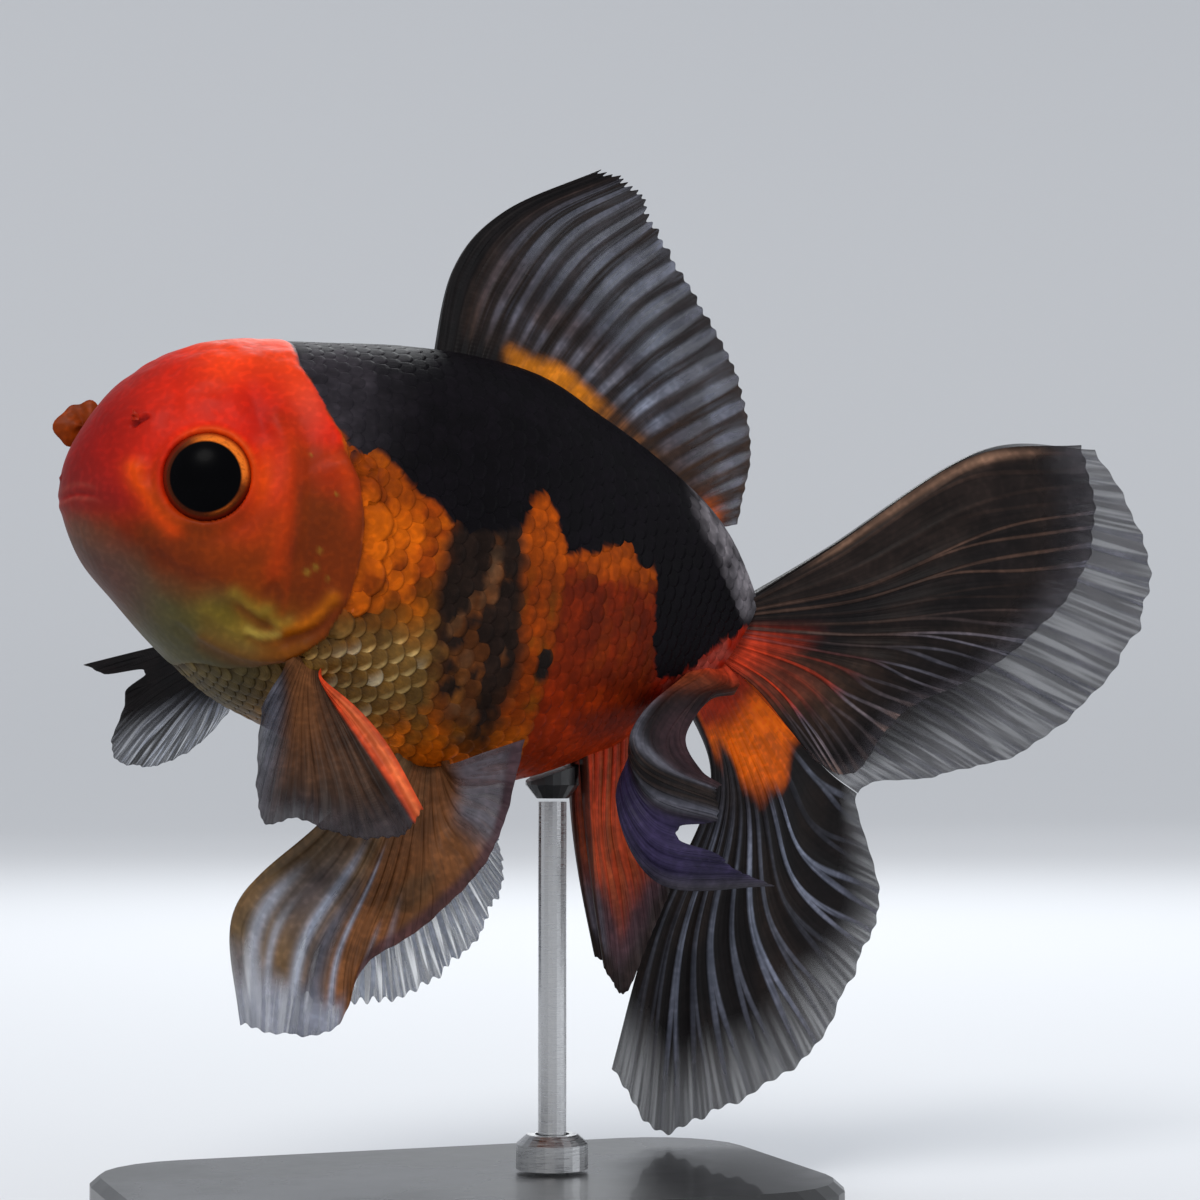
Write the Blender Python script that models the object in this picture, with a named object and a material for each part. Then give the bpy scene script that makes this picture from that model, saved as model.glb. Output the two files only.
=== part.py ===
"""A life-size fancy goldfish, an oranda with a double tail, held over a small display stand.

The fish is measured in its own frame, in millimetres: x runs back from the mouth, y to the
fish's right (negative is its left side) and z up. It is then tipped nose up and carried over
the stand, whose underside is the origin of the model.
"""

import math

import bmesh
import bpy
from mathutils import Matrix, Vector

MM = 0.001

# How the fish is carried
NOSE_UP = math.radians(8)
CARRY_X = 36.0  # the place along the fish that lies over the middle of the base
CARRY_HEIGHT = 57.5  # of that place over the floor
CLEARANCE = 0.3  # between neighbouring pieces

# Body: place along it, back line, belly line, half width, height of the widest line
SNOUT = -0.6
BODY_END = 61.2
BODY = (
    (SNOUT, 2.6, 2.6, 0.0, 2.6),
    (0.4, 6.9, -1.2, 3.2, 2.6),
    (2.4, 10.6, -4.3, 5.7, 2.8),
    (5.6, 13.9, -7.1, 8.2, 2.9),
    (10.0, 16.4, -10.7, 10.4, 2.8),
    (15.0, 17.5, -13.9, 12.2, 2.0),
    (20.0, 18.3, -15.7, 13.3, 1.2),
    (27.0, 19.3, -17.6, 14.4, 0.6),
    (34.0, 19.6, -18.6, 14.5, 0.0),
    (40.0, 18.9, -18.2, 13.6, -0.6),
    (46.0, 16.3, -16.2, 11.4, -0.9),
    (51.0, 13.2, -14.2, 8.9, -1.2),
    (56.0, 9.0, -11.3, 6.2, -1.8),
    (BODY_END, 2.6, -7.6, 3.3, -2.6),
)
BODY_RINGS = 24
BODY_SIDES = 24
FULLNESS = 2.2  # 2 is an ellipse, more is squarer
LEAN_START = 44.0  # from here back the rings lean, to follow the slanting tail root
LEAN_AT_END = 0.5

EYE_CENTRE = (10.0, 9.4, 3.6)
EYE_RADIUS = 4.0
EYE_DEPTH = 2.4
EYE_TURN = math.radians(22)  # towards the front

HEAD_CENTRE = (9.0, 0.0)  # of the oval, seen from the side, whose back edge ends the head
HEAD_RADII = (14.5, 22.0)
GILL_CENTRE = (21.5, -1.0)
GILL_RADII = (6.3, 10.5)
GILL_DEPTH = 9.3  # from the middle plane to the inside of the cover
JAW_TOP = 1.2
JAW_LENGTH = 5.0
JAW_BOTTOM = -6.5
STALK_CUT = (57.2, -1.0)  # a point of the cut between trunk and tail stalk
STALK_SLANT = math.radians(-14)

FIN_ROOT_THICKNESS = 1.0
FIN_EDGE_THICKNESS = 0.55

# Each fin: its root line, then its guide rays in order, each from near the root to the tip
DORSAL_ROOT = ((30.3, 0, 17.8), (38.5, 0, 17.6), (48.0, 0, 13.4), (58.2, 0, 5.6))
DORSAL_RAYS = (
    ((31.0, 0.2, 27.0), (35.0, 0.4, 33.2), (43.7, 0.4, 39.0)),
    ((36.5, 0.3, 26.0), (40.5, 0.5, 33.0), (47.3, 0.8, 38.2)),
    ((42.0, 0.3, 25.0), (45.0, 0.4, 30.5), (49.6, 0.4, 34.8)),
    ((47.0, 0.2, 21.5), (50.0, 0.1, 27.0), (54.0, -0.4, 29.0)),
    ((51.5, 0.0, 17.0), (54.8, -0.3, 21.5), (58.6, -0.8, 23.0)),
    ((55.5, 0.0, 12.5), (58.3, -0.2, 15.0), (61.2, -0.5, 16.0)),
    ((58.8, 0.0, 8.0), (60.2, 0.0, 8.7), (61.0, 0.0, 9.0)),
)
PECTORAL_LEFT_ROOT = ((21.2, -9.5, -11.3), (19.3, -9.5, -9.3))
PECTORAL_LEFT_RAYS = (
    ((22.9, -14.0, -13.0), (26.1, -17.0, -16.3), (29.2, -20.0, -21.3)),
    ((22.4, -14.6, -14.6), (24.8, -18.0, -19.3), (27.5, -20.2, -23.6)),
    ((21.0, -14.6, -15.0), (22.4, -18.0, -20.0), (23.6, -19.8, -24.3)),
    ((19.6, -14.2, -15.0), (19.5, -17.6, -19.8), (19.4, -19.6, -23.4)),
    ((18.6, -13.6, -14.2), (17.2, -17.0, -19.5), (16.3, -19.0, -23.8)),
    ((18.1, -13.0, -12.8), (16.6, -15.5, -16.4), (15.7, -17.4, -19.6)),
    ((17.9, -12.2, -11.4), (16.8, -13.4, -13.2), (16.0, -14.6, -14.8)),
)
PECTORAL_RIGHT_ROOT = ((18.9, 9.5, -7.8), (20.7, 9.5, -10.6))
PECTORAL_RIGHT_RAYS = (
    ((16.0, 14.0, -8.0), (12.4, 19.0, -9.4), (7.8, 25.0, -11.4)),
    ((16.0, 14.2, -9.8), (13.2, 18.6, -12.0), (11.2, 21.0, -13.6)),
    ((16.3, 14.2, -11.4), (13.0, 19.0, -15.2), (10.8, 21.8, -18.8)),
    ((17.0, 14.0, -12.4), (14.6, 18.6, -17.0), (13.2, 21.0, -20.2)),
    ((17.8, 13.5, -12.6), (16.5, 17.0, -16.6), (15.8, 19.0, -19.4)),
    ((18.8, 13.0, -12.2), (18.5, 15.5, -15.2), (18.0, 17.2, -17.4)),
    ((19.9, 12.4, -11.6), (19.9, 13.6, -13.2), (19.7, 14.6, -14.4)),
)
PELVIC_LEFT_ROOT = ((31.3, -5.2, -15.6), (34.7, -5.0, -16.0))
PELVIC_LEFT_RAYS = (
    ((22.6, -11.4, -23.8), (15.9, -16.0, -31.0), (17.0, -19.0, -40.2)),
    ((26.4, -12.0, -25.2), (21.6, -16.0, -33.0), (20.9, -18.0, -40.4)),
    ((28.5, -11.6, -26.2), (25.6, -15.0, -33.6), (25.2, -17.0, -39.6)),
    ((30.3, -11.2, -25.4), (28.6, -13.8, -30.8), (27.3, -15.7, -34.4)),
    ((32.4, -10.6, -23.6), (32.4, -12.6, -27.2), (32.6, -14.3, -30.2)),
    ((34.0, -10.2, -21.4), (35.6, -11.6, -23.6), (37.0, -12.8, -25.2)),
    ((34.8, -9.8, -19.2), (37.0, -11.2, -20.2), (38.6, -12.4, -20.8)),
    ((33.8, -9.8, -16.9), (36.3, -11.6, -15.5), (39.1, -13.2, -14.0)),
)
PELVIC_RIGHT_ROOT = ((31.3, 5.2, -15.6), (34.7, 5.0, -16.0))
PELVIC_RIGHT_RAYS = (
    ((31.0, 11.0, -24.0), (30.0, 14.5, -32.0), (30.6, 16.0, -39.2)),
    ((33.0, 10.6, -24.6), (33.6, 13.2, -32.4), (34.6, 14.4, -39.4)),
    ((34.8, 10.0, -24.0), (37.4, 12.6, -31.6), (39.4, 14.0, -38.2)),
    ((36.4, 9.5, -22.6), (40.2, 11.6, -29.0), (43.5, 13.0, -34.8)),
    ((37.5, 9.0, -21.0), (42.0, 10.6, -26.0), (46.0, 12.0, -30.4)),
    ((38.0, 8.5, -19.8), (42.5, 9.7, -22.6), (46.8, 11.0, -26.2)),
    ((38.0, 8.2, -18.8), (42.0, 9.0, -20.4), (45.6, 10.0, -22.4)),
)
ANAL_LEFT_ROOT = ((48.3, -1.7, -13.7), (54.6, -1.4, -10.4))
ANAL_LEFT_RAYS = (
    ((49.2, -2.6, -19.6), (50.4, -3.2, -25.6), (52.2, -4.0, -32.6)),
    ((51.2, -2.2, -20.4), (52.9, -3.2, -26.8), (54.4, -4.2, -34.6)),
    ((53.6, -2.0, -18.6), (55.2, -3.2, -23.6), (56.4, -4.0, -28.6)),
    ((55.4, -1.9, -16.2), (56.8, -2.8, -20.2), (57.8, -3.6, -24.4)),
)
ANAL_RIGHT_ROOT = ((48.3, 1.7, -13.7), (54.6, 1.4, -10.4))
ANAL_RIGHT_RAYS = (
    ((49.4, 1.8, -19.4), (51.0, 1.8, -25.2), (53.4, 1.8, -32.0)),
    ((52.0, 1.9, -19.6), (54.2, 2.0, -25.4), (56.4, 2.0, -31.6)),
    ((54.0, 1.9, -18.2), (56.0, 2.2, -23.0), (57.6, 2.4, -27.6)),
    ((55.8, 1.9, -15.8), (57.4, 2.3, -19.6), (58.8, 2.6, -23.4)),
)
TAIL_RIGHT_ROOT = ((61.8, 1.3, 1.4), (58.0, 1.3, -6.4))
TAIL_RIGHT_RAYS = (
    ((71.8, 3.0, 8.9), (87.5, 5.2, 21.1), (100.6, 6.0, 23.6)),
    ((76.8, 4.0, 6.6), (91.4, 7.0, 14.4), (109.2, 8.0, 14.2)),
    ((76.8, 5.0, 2.8), (92.3, 9.0, 6.4), (108.6, 10.0, 4.4)),
    ((76.4, 6.0, -1.4), (89.0, 9.0, -2.2), (100.2, 11.0, -6.0)),
    ((74.0, 6.0, -5.4), (82.2, 9.0, -8.0), (89.2, 10.0, -10.6)),
    ((71.6, 5.6, -9.0), (76.8, 8.0, -11.8), (80.6, 9.0, -13.4)),
    ((70.0, 5.5, -12.6), (76.0, 9.0, -19.0), (85.4, 11.0, -22.6)),
    ((68.8, 5.5, -14.4), (75.0, 10.0, -24.6), (84.2, 12.0, -30.0)),
    ((67.4, 5.4, -15.0), (72.0, 10.0, -28.0), (80.8, 13.0, -39.0)),
    ((65.8, 5.0, -15.2), (67.6, 10.0, -30.0), (73.4, 13.0, -44.6)),
    ((64.6, 4.6, -15.2), (64.4, 10.0, -30.4), (66.2, 13.0, -48.0)),
    ((63.4, 4.2, -15.0), (61.2, 9.2, -28.8), (60.2, 12.0, -42.4)),
)
TAIL_RIGHT_FORK = 5  # the guide ray at the bottom of the notch between the lobes
TAIL_LEFT_UPPER_ROOT = ((61.8, -1.3, 1.4), (59.4, -1.4, -3.4))
TAIL_LEFT_UPPER_RAYS = (
    ((69.6, -2.2, 8.0), (82.0, -3.5, 18.6), (93.4, -4.0, 21.8)),
    ((72.4, -3.2, 4.8), (83.2, -5.2, 11.0), (94.8, -6.0, 14.4)),
    ((71.8, -3.6, 1.8), (80.5, -6.2, 4.0), (92.0, -7.0, 6.4)),
    ((70.8, -3.6, -0.8), (77.6, -6.0, -0.4), (84.4, -7.0, -1.4)),
    ((68.2, -3.4, -3.0), (72.6, -5.2, -4.6), (77.0, -6.4, -6.2)),
    ((65.8, -3.0, -4.8), (69.6, -4.8, -8.0), (73.0, -6.0, -12.4)),
    ((63.4, -2.6, -5.6), (66.2, -3.8, -8.4), (69.4, -5.0, -11.8)),
)
TAIL_LEFT_LOWER_ROOT = ((59.6, -1.2, -3.6), (57.2, -1.0, -6.6))
TAIL_LEFT_LOWER_RAYS = (
    ((61.4, -4.0, -6.2), (57.4, -8.0, -7.7), (53.8, -12.0, -11.8), (54.7, -14.2, -14.5), (56.6, -14.8, -15.5)),
    ((56.3, -5.0, -5.9), (51.4, -10.0, -9.1), (48.4, -14.0, -12.6), (49.5, -16.4, -15.0), (56.1, -15.8, -16.4)),
    ((53.8, -6.4, -9.8), (48.8, -12.6, -14.4), (50.2, -16.6, -18.6), (56.6, -16.0, -19.2)),
    ((52.8, -6.8, -11.0), (48.2, -13.2, -16.6), (50.6, -16.6, -21.6), (58.2, -14.8, -22.0)),
    ((51.8, -7.0, -12.2), (48.2, -12.6, -18.4), (52.2, -15.0, -24.6), (64.0, -12.0, -23.4)),
)

NOSTRIL = (3.1, 5.5, 8.0)

# Stand
BASE_LENGTH = 62.0
BASE_WIDTH = 38.0
BASE_HEIGHT = 5.0
BASE_CORNER = 9.0
BASE_BEVEL = 0.8
ROD_X = 46.4  # on the fish: between the pelvic and the anal fins
ROD_RADIUS = 1.25
COLLAR_RADIUS = 3.2
COLLAR_HEIGHT = 3.0
REST_RADIUS = 2.4
REST_HEIGHT = 2.2

CARRY = (
    Matrix.Translation((0, 0, CARRY_HEIGHT * MM))
    @ Matrix.Rotation(NOSE_UP, 4, "Y")
    @ Matrix.Translation((-CARRY_X * MM, 0, 0))
)


def clear_scene():
    for old in list(bpy.data.objects):
        bpy.data.objects.remove(old, do_unlink=True)


def material(name, colour, roughness, metallic=0.0):
    made = bpy.data.materials.new(name)
    made.use_nodes = True
    shader = made.node_tree.nodes["Principled BSDF"]
    shader.inputs["Base Color"].default_value = (*colour, 1)
    shader.inputs["Roughness"].default_value = roughness
    shader.inputs["Metallic"].default_value = metallic
    return made


def add_object(name, mesh, finish=None, place=CARRY):
    made = bpy.data.objects.new(name, mesh)
    bpy.context.scene.collection.objects.link(made)
    made.matrix_world = place
    if finish:
        made.data.materials.clear()
        made.data.materials.append(finish)
    return made


def as_cutter(made):
    made.hide_render = True
    made.display_type = "WIRE"
    return made


def boolean(target, cutter, operation="DIFFERENCE"):
    step = target.modifiers.new(operation.title() + "_" + cutter.name, "BOOLEAN")
    step.operation = operation
    step.object = cutter
    step.solver = "EXACT"


def mesh_of(name, points, faces, scale=MM):
    """A mesh of points in millimetres, with its faces turned outwards."""
    work = bmesh.new()
    made = [work.verts.new(Vector(p) * scale) for p in points]
    for face in faces:
        work.faces.new([made[i] for i in face])
    bmesh.ops.recalc_face_normals(work, faces=work.faces)
    bmesh.ops.triangulate(work, faces=[face for face in work.faces if len(face.verts) == 4])
    mesh = bpy.data.meshes.new(name)
    work.to_mesh(mesh)
    work.free()
    mesh.shade_smooth()
    mesh.set_sharp_from_angle(angle=math.radians(40))
    return mesh


def hermite(rows, x):
    """Reads a table of stations smoothly. Its first column is the place, with one slope at each station."""
    i = max(0, min(len(rows) - 2, sum(row[0] <= x for row in rows) - 1))
    x0, x1 = rows[i][0], rows[i + 1][0]
    t = (x - x0) / (x1 - x0)

    def slope(k, column):
        a, b = rows[max(0, k - 1)], rows[min(len(rows) - 1, k + 1)]
        return (b[column] - a[column]) / (b[0] - a[0])

    def value(column):
        p, q = rows[i][column], rows[i + 1][column]
        m, n = slope(i, column) * (x1 - x0), slope(i + 1, column) * (x1 - x0)
        return (
            p * (2 * t**3 - 3 * t**2 + 1)
            + m * (t**3 - 2 * t**2 + t)
            + q * (3 * t**2 - 2 * t**3)
            + n * (t**3 - t**2)
        )

    return [value(column) for column in range(1, len(rows[0]))]


def body_section(x):
    """Back, belly, half width and belt height at x. Reading by the root of the length rounds the snout."""
    rows = [(math.sqrt(row[0] - SNOUT), *row[1:]) for row in BODY]
    return hermite(rows, math.sqrt(x - SNOUT))


def body_point(x, angle):
    """A point of the skin: the angle runs from the fish's right side, 0, over its back, a quarter turn."""
    top, bottom, width, belt = body_section(x)
    across, up = math.cos(angle), math.sin(angle)
    y = width * math.copysign(abs(across) ** (2 / FULLNESS), across)
    rise = abs(up) ** (2 / FULLNESS)
    z = belt + (top - belt) * rise if up > 0 else belt - (belt - bottom) * rise
    lean = LEAN_AT_END * max(0.0, (x - LEAN_START) / (BODY_END - LEAN_START)) ** 1.5
    return Vector((x + lean * (z - belt), y, z))


def body_mesh(name, grow=0.0):
    points = [Vector((SNOUT, 0, BODY[0][1]))]
    for ring in range(1, BODY_RINGS + 1):
        x = SNOUT + (BODY_END - SNOUT) * (ring / BODY_RINGS) ** 1.7
        points += [body_point(x, 2 * math.pi * k / BODY_SIDES) for k in range(BODY_SIDES)]
    top, bottom, _, belt = body_section(BODY_END)
    points.append(Vector((BODY_END + 1.2, 0, (top + bottom) / 2)))
    last = len(points) - 1
    first_ring = range(1, BODY_SIDES + 1)
    faces = [(0, k, k % BODY_SIDES + 1) for k in first_ring]
    for ring in range(BODY_RINGS - 1):
        a, b = 1 + ring * BODY_SIDES, 1 + (ring + 1) * BODY_SIDES
        for k in range(BODY_SIDES):
            n = (k + 1) % BODY_SIDES
            faces.append((a + k, a + n, b + n, b + k))
    end = 1 + (BODY_RINGS - 1) * BODY_SIDES
    faces += [(last, end + (k + 1) % BODY_SIDES, end + k) for k in range(BODY_SIDES)]
    mesh = mesh_of(name, points, faces)
    if grow:
        outwards = [(v.co.copy(), v.normal.copy()) for v in mesh.vertices]
        for vertex, (place, normal) in zip(mesh.vertices, outwards):
            vertex.co = place + normal * grow * MM
    return mesh


def oval_prism(name, centre, radii, y_from, y_to, sides=32):
    """An oval seen from the side, run across the fish from y_from to y_to."""
    ring = [2 * math.pi * k / sides for k in range(sides)]
    points = [
        (centre[0] + radii[0] * math.cos(a), y, centre[1] + radii[1] * math.sin(a))
        for y in (y_from, y_to)
        for a in ring
    ]
    faces = [tuple(range(sides)), tuple(range(sides, 2 * sides))]
    faces += [(k, (k + 1) % sides, sides + (k + 1) % sides, sides + k) for k in range(sides)]
    return as_cutter(add_object(name, mesh_of(name, points, faces)))


def block(name, low, high, turn=0.0, pivot=(0, 0, 0)):
    """A box between two corners, turned about an axis across the fish through its pivot."""
    points = [(x, y, z) for x in (low[0], high[0]) for y in (low[1], high[1]) for z in (low[2], high[2])]
    about = Matrix.Rotation(turn, 3, "Y")
    points = [about @ Vector(p) + Vector(pivot) for p in points]
    faces = [(0, 1, 3, 2), (4, 6, 7, 5), (0, 4, 5, 1), (2, 3, 7, 6), (0, 2, 6, 4), (1, 5, 7, 3)]
    return as_cutter(add_object(name, mesh_of(name, points, faces)))


def ellipsoid(name, centre, radii, turn=0.0, rings=8, sides=18):
    """An ellipsoid whose poles lie across the fish, turned about the vertical."""
    about = Matrix.Rotation(turn, 3, "Z")
    points = []
    for ring in range(1, rings):
        a = math.pi * ring / rings
        for k in range(sides):
            b = 2 * math.pi * k / sides
            points.append(
                (radii[0] * math.sin(a) * math.cos(b), radii[1] * math.cos(a), radii[2] * math.sin(a) * math.sin(b))
            )
    points += [(0, radii[1], 0), (0, -radii[1], 0)]
    points = [about @ Vector(p) + Vector(centre) for p in points]
    near, far = len(points) - 2, len(points) - 1
    faces = []
    for ring in range(rings - 2):
        for k in range(sides):
            n = (k + 1) % sides
            faces.append((ring * sides + k, ring * sides + n, (ring + 1) * sides + n, (ring + 1) * sides + k))
    end = (rings - 2) * sides
    faces += [(near, (k + 1) % sides, k) for k in range(sides)]
    faces += [(far, end + k, end + (k + 1) % sides) for k in range(sides)]
    return mesh_of(name, points, faces)


def through(points, t):
    """A smooth curve through evenly read points, at t from 0 to 1."""
    place = t * (len(points) - 1)
    i = min(int(place), len(points) - 2)
    u = place - i
    p1, p2 = points[i], points[i + 1]
    p0 = points[i - 1] if i else p1 * 2 - p2
    p3 = points[i + 2] if i + 2 < len(points) else p2 * 2 - p1
    return 0.5 * (2 * p1 + (p2 - p0) * u + (2 * p0 - 5 * p1 + 4 * p2 - p3) * u**2 + (3 * (p1 - p2) + p3 - p0) * u**3)


def fin_surface(root, rays, along, across, span):
    """A grid of points, from root to tip and from the first guide ray to the last."""
    root = [Vector(p) for p in root]
    guides = []
    for k, ray in enumerate(rays):
        base = through(root, k / (len(rays) - 1))
        line = [base, *(Vector(p) for p in ray)]
        guides.append([through(line, i / along) for i in range(along + 1)])
    grid = []
    for i in range(along + 1):
        row = [guide[i] for guide in guides]
        grid.append([through(row, span[0] + (span[1] - span[0]) * k / across) for k in range(across + 1)])
    return grid


def fin(name, root, rays, finish, along=7, across=14, pleat=0.25, pleats=6, span=(0, 1)):
    """A fin as a thin solid: its surface, thick at the root and thin at the edge, with shallow pleats."""
    grid = fin_surface(root, rays, along, across, span)

    def normal(i, k):
        down = grid[min(i + 1, along)][k] - grid[max(i - 1, 0)][k]
        over = grid[i][min(k + 1, across)] - grid[i][max(k - 1, 0)]
        return down.cross(over).normalized()

    sides = ([], [])
    for i in range(along + 1):
        share = i / along
        half = (FIN_ROOT_THICKNESS + (FIN_EDGE_THICKNESS - FIN_ROOT_THICKNESS) * min(1, 3 * share)) / 2
        for k in range(across + 1):
            out = normal(i, k)
            fold = pleat * share * math.sin(2 * math.pi * pleats * k / across)
            sides[0].append(grid[i][k] + out * (fold + half))
            sides[1].append(grid[i][k] + out * (fold - half))
    row = across + 1
    back = len(sides[0])
    faces = []
    for i in range(along):
        for k in range(across):
            a, b = i * row + k, i * row + k + 1
            c, d = b + row, a + row
            faces += [(a, b, c, d), (back + d, back + c, back + b, back + a)]
    rim = [(k, k + 1) for k in range(across)]
    rim += [(i * row + across, (i + 1) * row + across) for i in range(along)]
    rim += [(along * row + k + 1, along * row + k) for k in range(across)]
    rim += [((i + 1) * row, i * row) for i in range(along)]
    faces += [(a, back + a, back + b, b) for a, b in rim]
    return add_object(name, mesh_of(name, sides[0] + sides[1], faces), finish)


def mirrored(points, side):
    """The same points on the fish's left, -1, or right, 1."""
    return [(x, y * side, z) for x, y, z in points]


def build_body(finishes):
    head_region = oval_prism("head_region", HEAD_CENTRE, HEAD_RADII, -30, 30)
    grown = [r + CLEARANCE for r in HEAD_RADII]
    head_room = oval_prism("head_room", HEAD_CENTRE, grown, -30, 30)
    pivot = (STALK_CUT[0], 0, STALK_CUT[1])
    stalk_region = block("stalk_region", (0, -20, -30), (40, 20, 30), STALK_SLANT, pivot)
    stalk_room = block("stalk_room", (-CLEARANCE, -21, -31), (41, 21, 31), STALK_SLANT, pivot)
    jaw_low, jaw_high = (-4, -9, JAW_BOTTOM), (JAW_LENGTH, 9, JAW_TOP)
    half = CLEARANCE / 2
    jaw_region = block("jaw_region", [v + half for v in jaw_low], [v - half for v in jaw_high], math.radians(8))
    jaw_room = block("jaw_room", [v - half for v in jaw_low], [v + half for v in jaw_high], math.radians(8))

    head = add_object("head", body_mesh("head"), finishes["red"])
    boolean(head, head_region, "INTERSECT")
    boolean(head, jaw_room)
    jaw = add_object("lower_jaw", body_mesh("lower_jaw"), finishes["red"])
    boolean(jaw, jaw_region, "INTERSECT")
    trunk = add_object("trunk", body_mesh("trunk"), finishes["orange"])
    boolean(trunk, head_room)
    boolean(trunk, stalk_room)
    stalk = add_object("tail_stalk", body_mesh("tail_stalk"), finishes["black"])
    boolean(stalk, stalk_region, "INTERSECT")

    for side, word in ((-1, "left"), (1, "right")):
        inner, outer = side * GILL_DEPTH, side * 25
        inner_room = side * (GILL_DEPTH - CLEARANCE)
        region = oval_prism("gill_region_" + word, GILL_CENTRE, GILL_RADII, inner, outer)
        grown = [r + CLEARANCE for r in GILL_RADII]
        room = oval_prism("gill_room_" + word, GILL_CENTRE, grown, inner_room, outer)
        cover = add_object("gill_cover_" + word, body_mesh("gill_cover_" + word), finishes["orange"])
        boolean(cover, head_region, "INTERSECT")
        boolean(cover, region, "INTERSECT")
        boolean(head, room)
        build_eye(head, side, word, finishes["eye"])
    return head


def build_eye(head, side, word, finish):
    centre = (EYE_CENTRE[0], EYE_CENTRE[1] * side, EYE_CENTRE[2])
    radii = (EYE_RADIUS, EYE_DEPTH, EYE_RADIUS)
    turn = EYE_TURN * side
    add_object("eye_" + word, ellipsoid("eye_" + word, centre, radii, turn), finish)
    room = [r + CLEARANCE for r in radii]
    socket = as_cutter(add_object("socket_" + word, ellipsoid("socket_" + word, centre, room, turn)))
    boolean(head, socket)


def build_nostrils(body_room, finishes):
    """The fleshy flap on each nostril: a large lobed one on the right, a low one on the left."""
    x, y, z = NOSTRIL
    centre_x = x - 1.7
    right = ellipsoid("nostril_flap_right", (centre_x, y, z), (2.2, 0.9, 2.4), math.radians(-8), 8, 18)
    for vertex in right.vertices:
        out, up = vertex.co.x / MM - centre_x, vertex.co.z / MM - z
        lobes = 1 + 0.12 * math.cos(3 * (math.atan2(up, out) - math.pi * 0.6))
        vertex.co.x, vertex.co.z = (centre_x + out * lobes) * MM, (z + up * lobes) * MM
    flap = add_object("nostril_flap_right", right, finishes["orange"])
    boolean(flap, body_room)
    left = ellipsoid("nostril_flap_left", (x + 0.9, -y - 0.2, z + 0.2), (1.7, 0.9, 0.9), math.radians(40), 8, 14)
    flap = add_object("nostril_flap_left", left, finishes["red"])
    boolean(flap, body_room)


def build_fins(body_room, finishes):
    fork = TAIL_RIGHT_FORK / (len(TAIL_RIGHT_RAYS) - 1)
    split = 0.006  # half of the gap between the two right lobes, as a share of the fan
    plans = (
        ("dorsal_fin", DORSAL_ROOT, DORSAL_RAYS, "black", dict(along=6, across=22, pleats=8, pleat=0.3)),
        ("pectoral_fin_left", PECTORAL_LEFT_ROOT, PECTORAL_LEFT_RAYS, "smoke", dict(along=5, across=12, pleats=4)),
        ("pectoral_fin_right", PECTORAL_RIGHT_ROOT, PECTORAL_RIGHT_RAYS, "smoke", dict(along=5, across=12, pleats=4)),
        ("pelvic_fin_left", PELVIC_LEFT_ROOT, PELVIC_LEFT_RAYS, "brown", dict(along=6, across=16)),
        ("pelvic_fin_right", PELVIC_RIGHT_ROOT, PELVIC_RIGHT_RAYS, "brown", dict(along=5, across=12, pleats=4)),
        ("anal_fin_left", ANAL_LEFT_ROOT, ANAL_LEFT_RAYS, "orange", dict(across=8, pleats=3)),
        ("anal_fin_right", ANAL_RIGHT_ROOT, ANAL_RIGHT_RAYS, "orange", dict(across=8, pleats=3)),
        ("tail_fin_right_upper", TAIL_RIGHT_ROOT, TAIL_RIGHT_RAYS, "black",
         dict(along=8, across=16, span=(0, fork - split))),
        ("tail_fin_right_lower", TAIL_RIGHT_ROOT, TAIL_RIGHT_RAYS, "black",
         dict(along=8, across=18, span=(fork + split, 1))),
        ("tail_fin_left_upper", TAIL_LEFT_UPPER_ROOT, TAIL_LEFT_UPPER_RAYS, "black", dict(across=14)),
        ("tail_fin_left_lower", TAIL_LEFT_LOWER_ROOT, TAIL_LEFT_LOWER_RAYS, "black",
         dict(along=12, across=6, pleat=0)),
    )
    for name, root, rays, finish, shape in plans:
        made = fin(name, root, rays, finishes[finish], **shape)
        boolean(made, body_room)


def turned(name, profile, x, finish, sides=24):
    """A piece turned about a vertical axis at x, from (radius, height) pairs that start and end on the axis."""
    points = [(x, 0, profile[0][1])]
    for radius, height in profile[1:-1]:
        for k in range(sides):
            a = 2 * math.pi * k / sides
            points.append((x + radius * math.cos(a), radius * math.sin(a), height))
    points.append((x, 0, profile[-1][1]))
    last = len(points) - 1
    faces = [(0, 1 + (k + 1) % sides, 1 + k) for k in range(sides)]
    for ring in range(len(profile) - 3):
        a, b = 1 + ring * sides, 1 + (ring + 1) * sides
        faces += [(a + k, a + (k + 1) % sides, b + (k + 1) % sides, b + k) for k in range(sides)]
    end = last - sides
    faces += [(last, end + k, end + (k + 1) % sides) for k in range(sides)]
    return add_object(name, mesh_of(name, points, faces), finish, Matrix.Identity(4))


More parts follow.
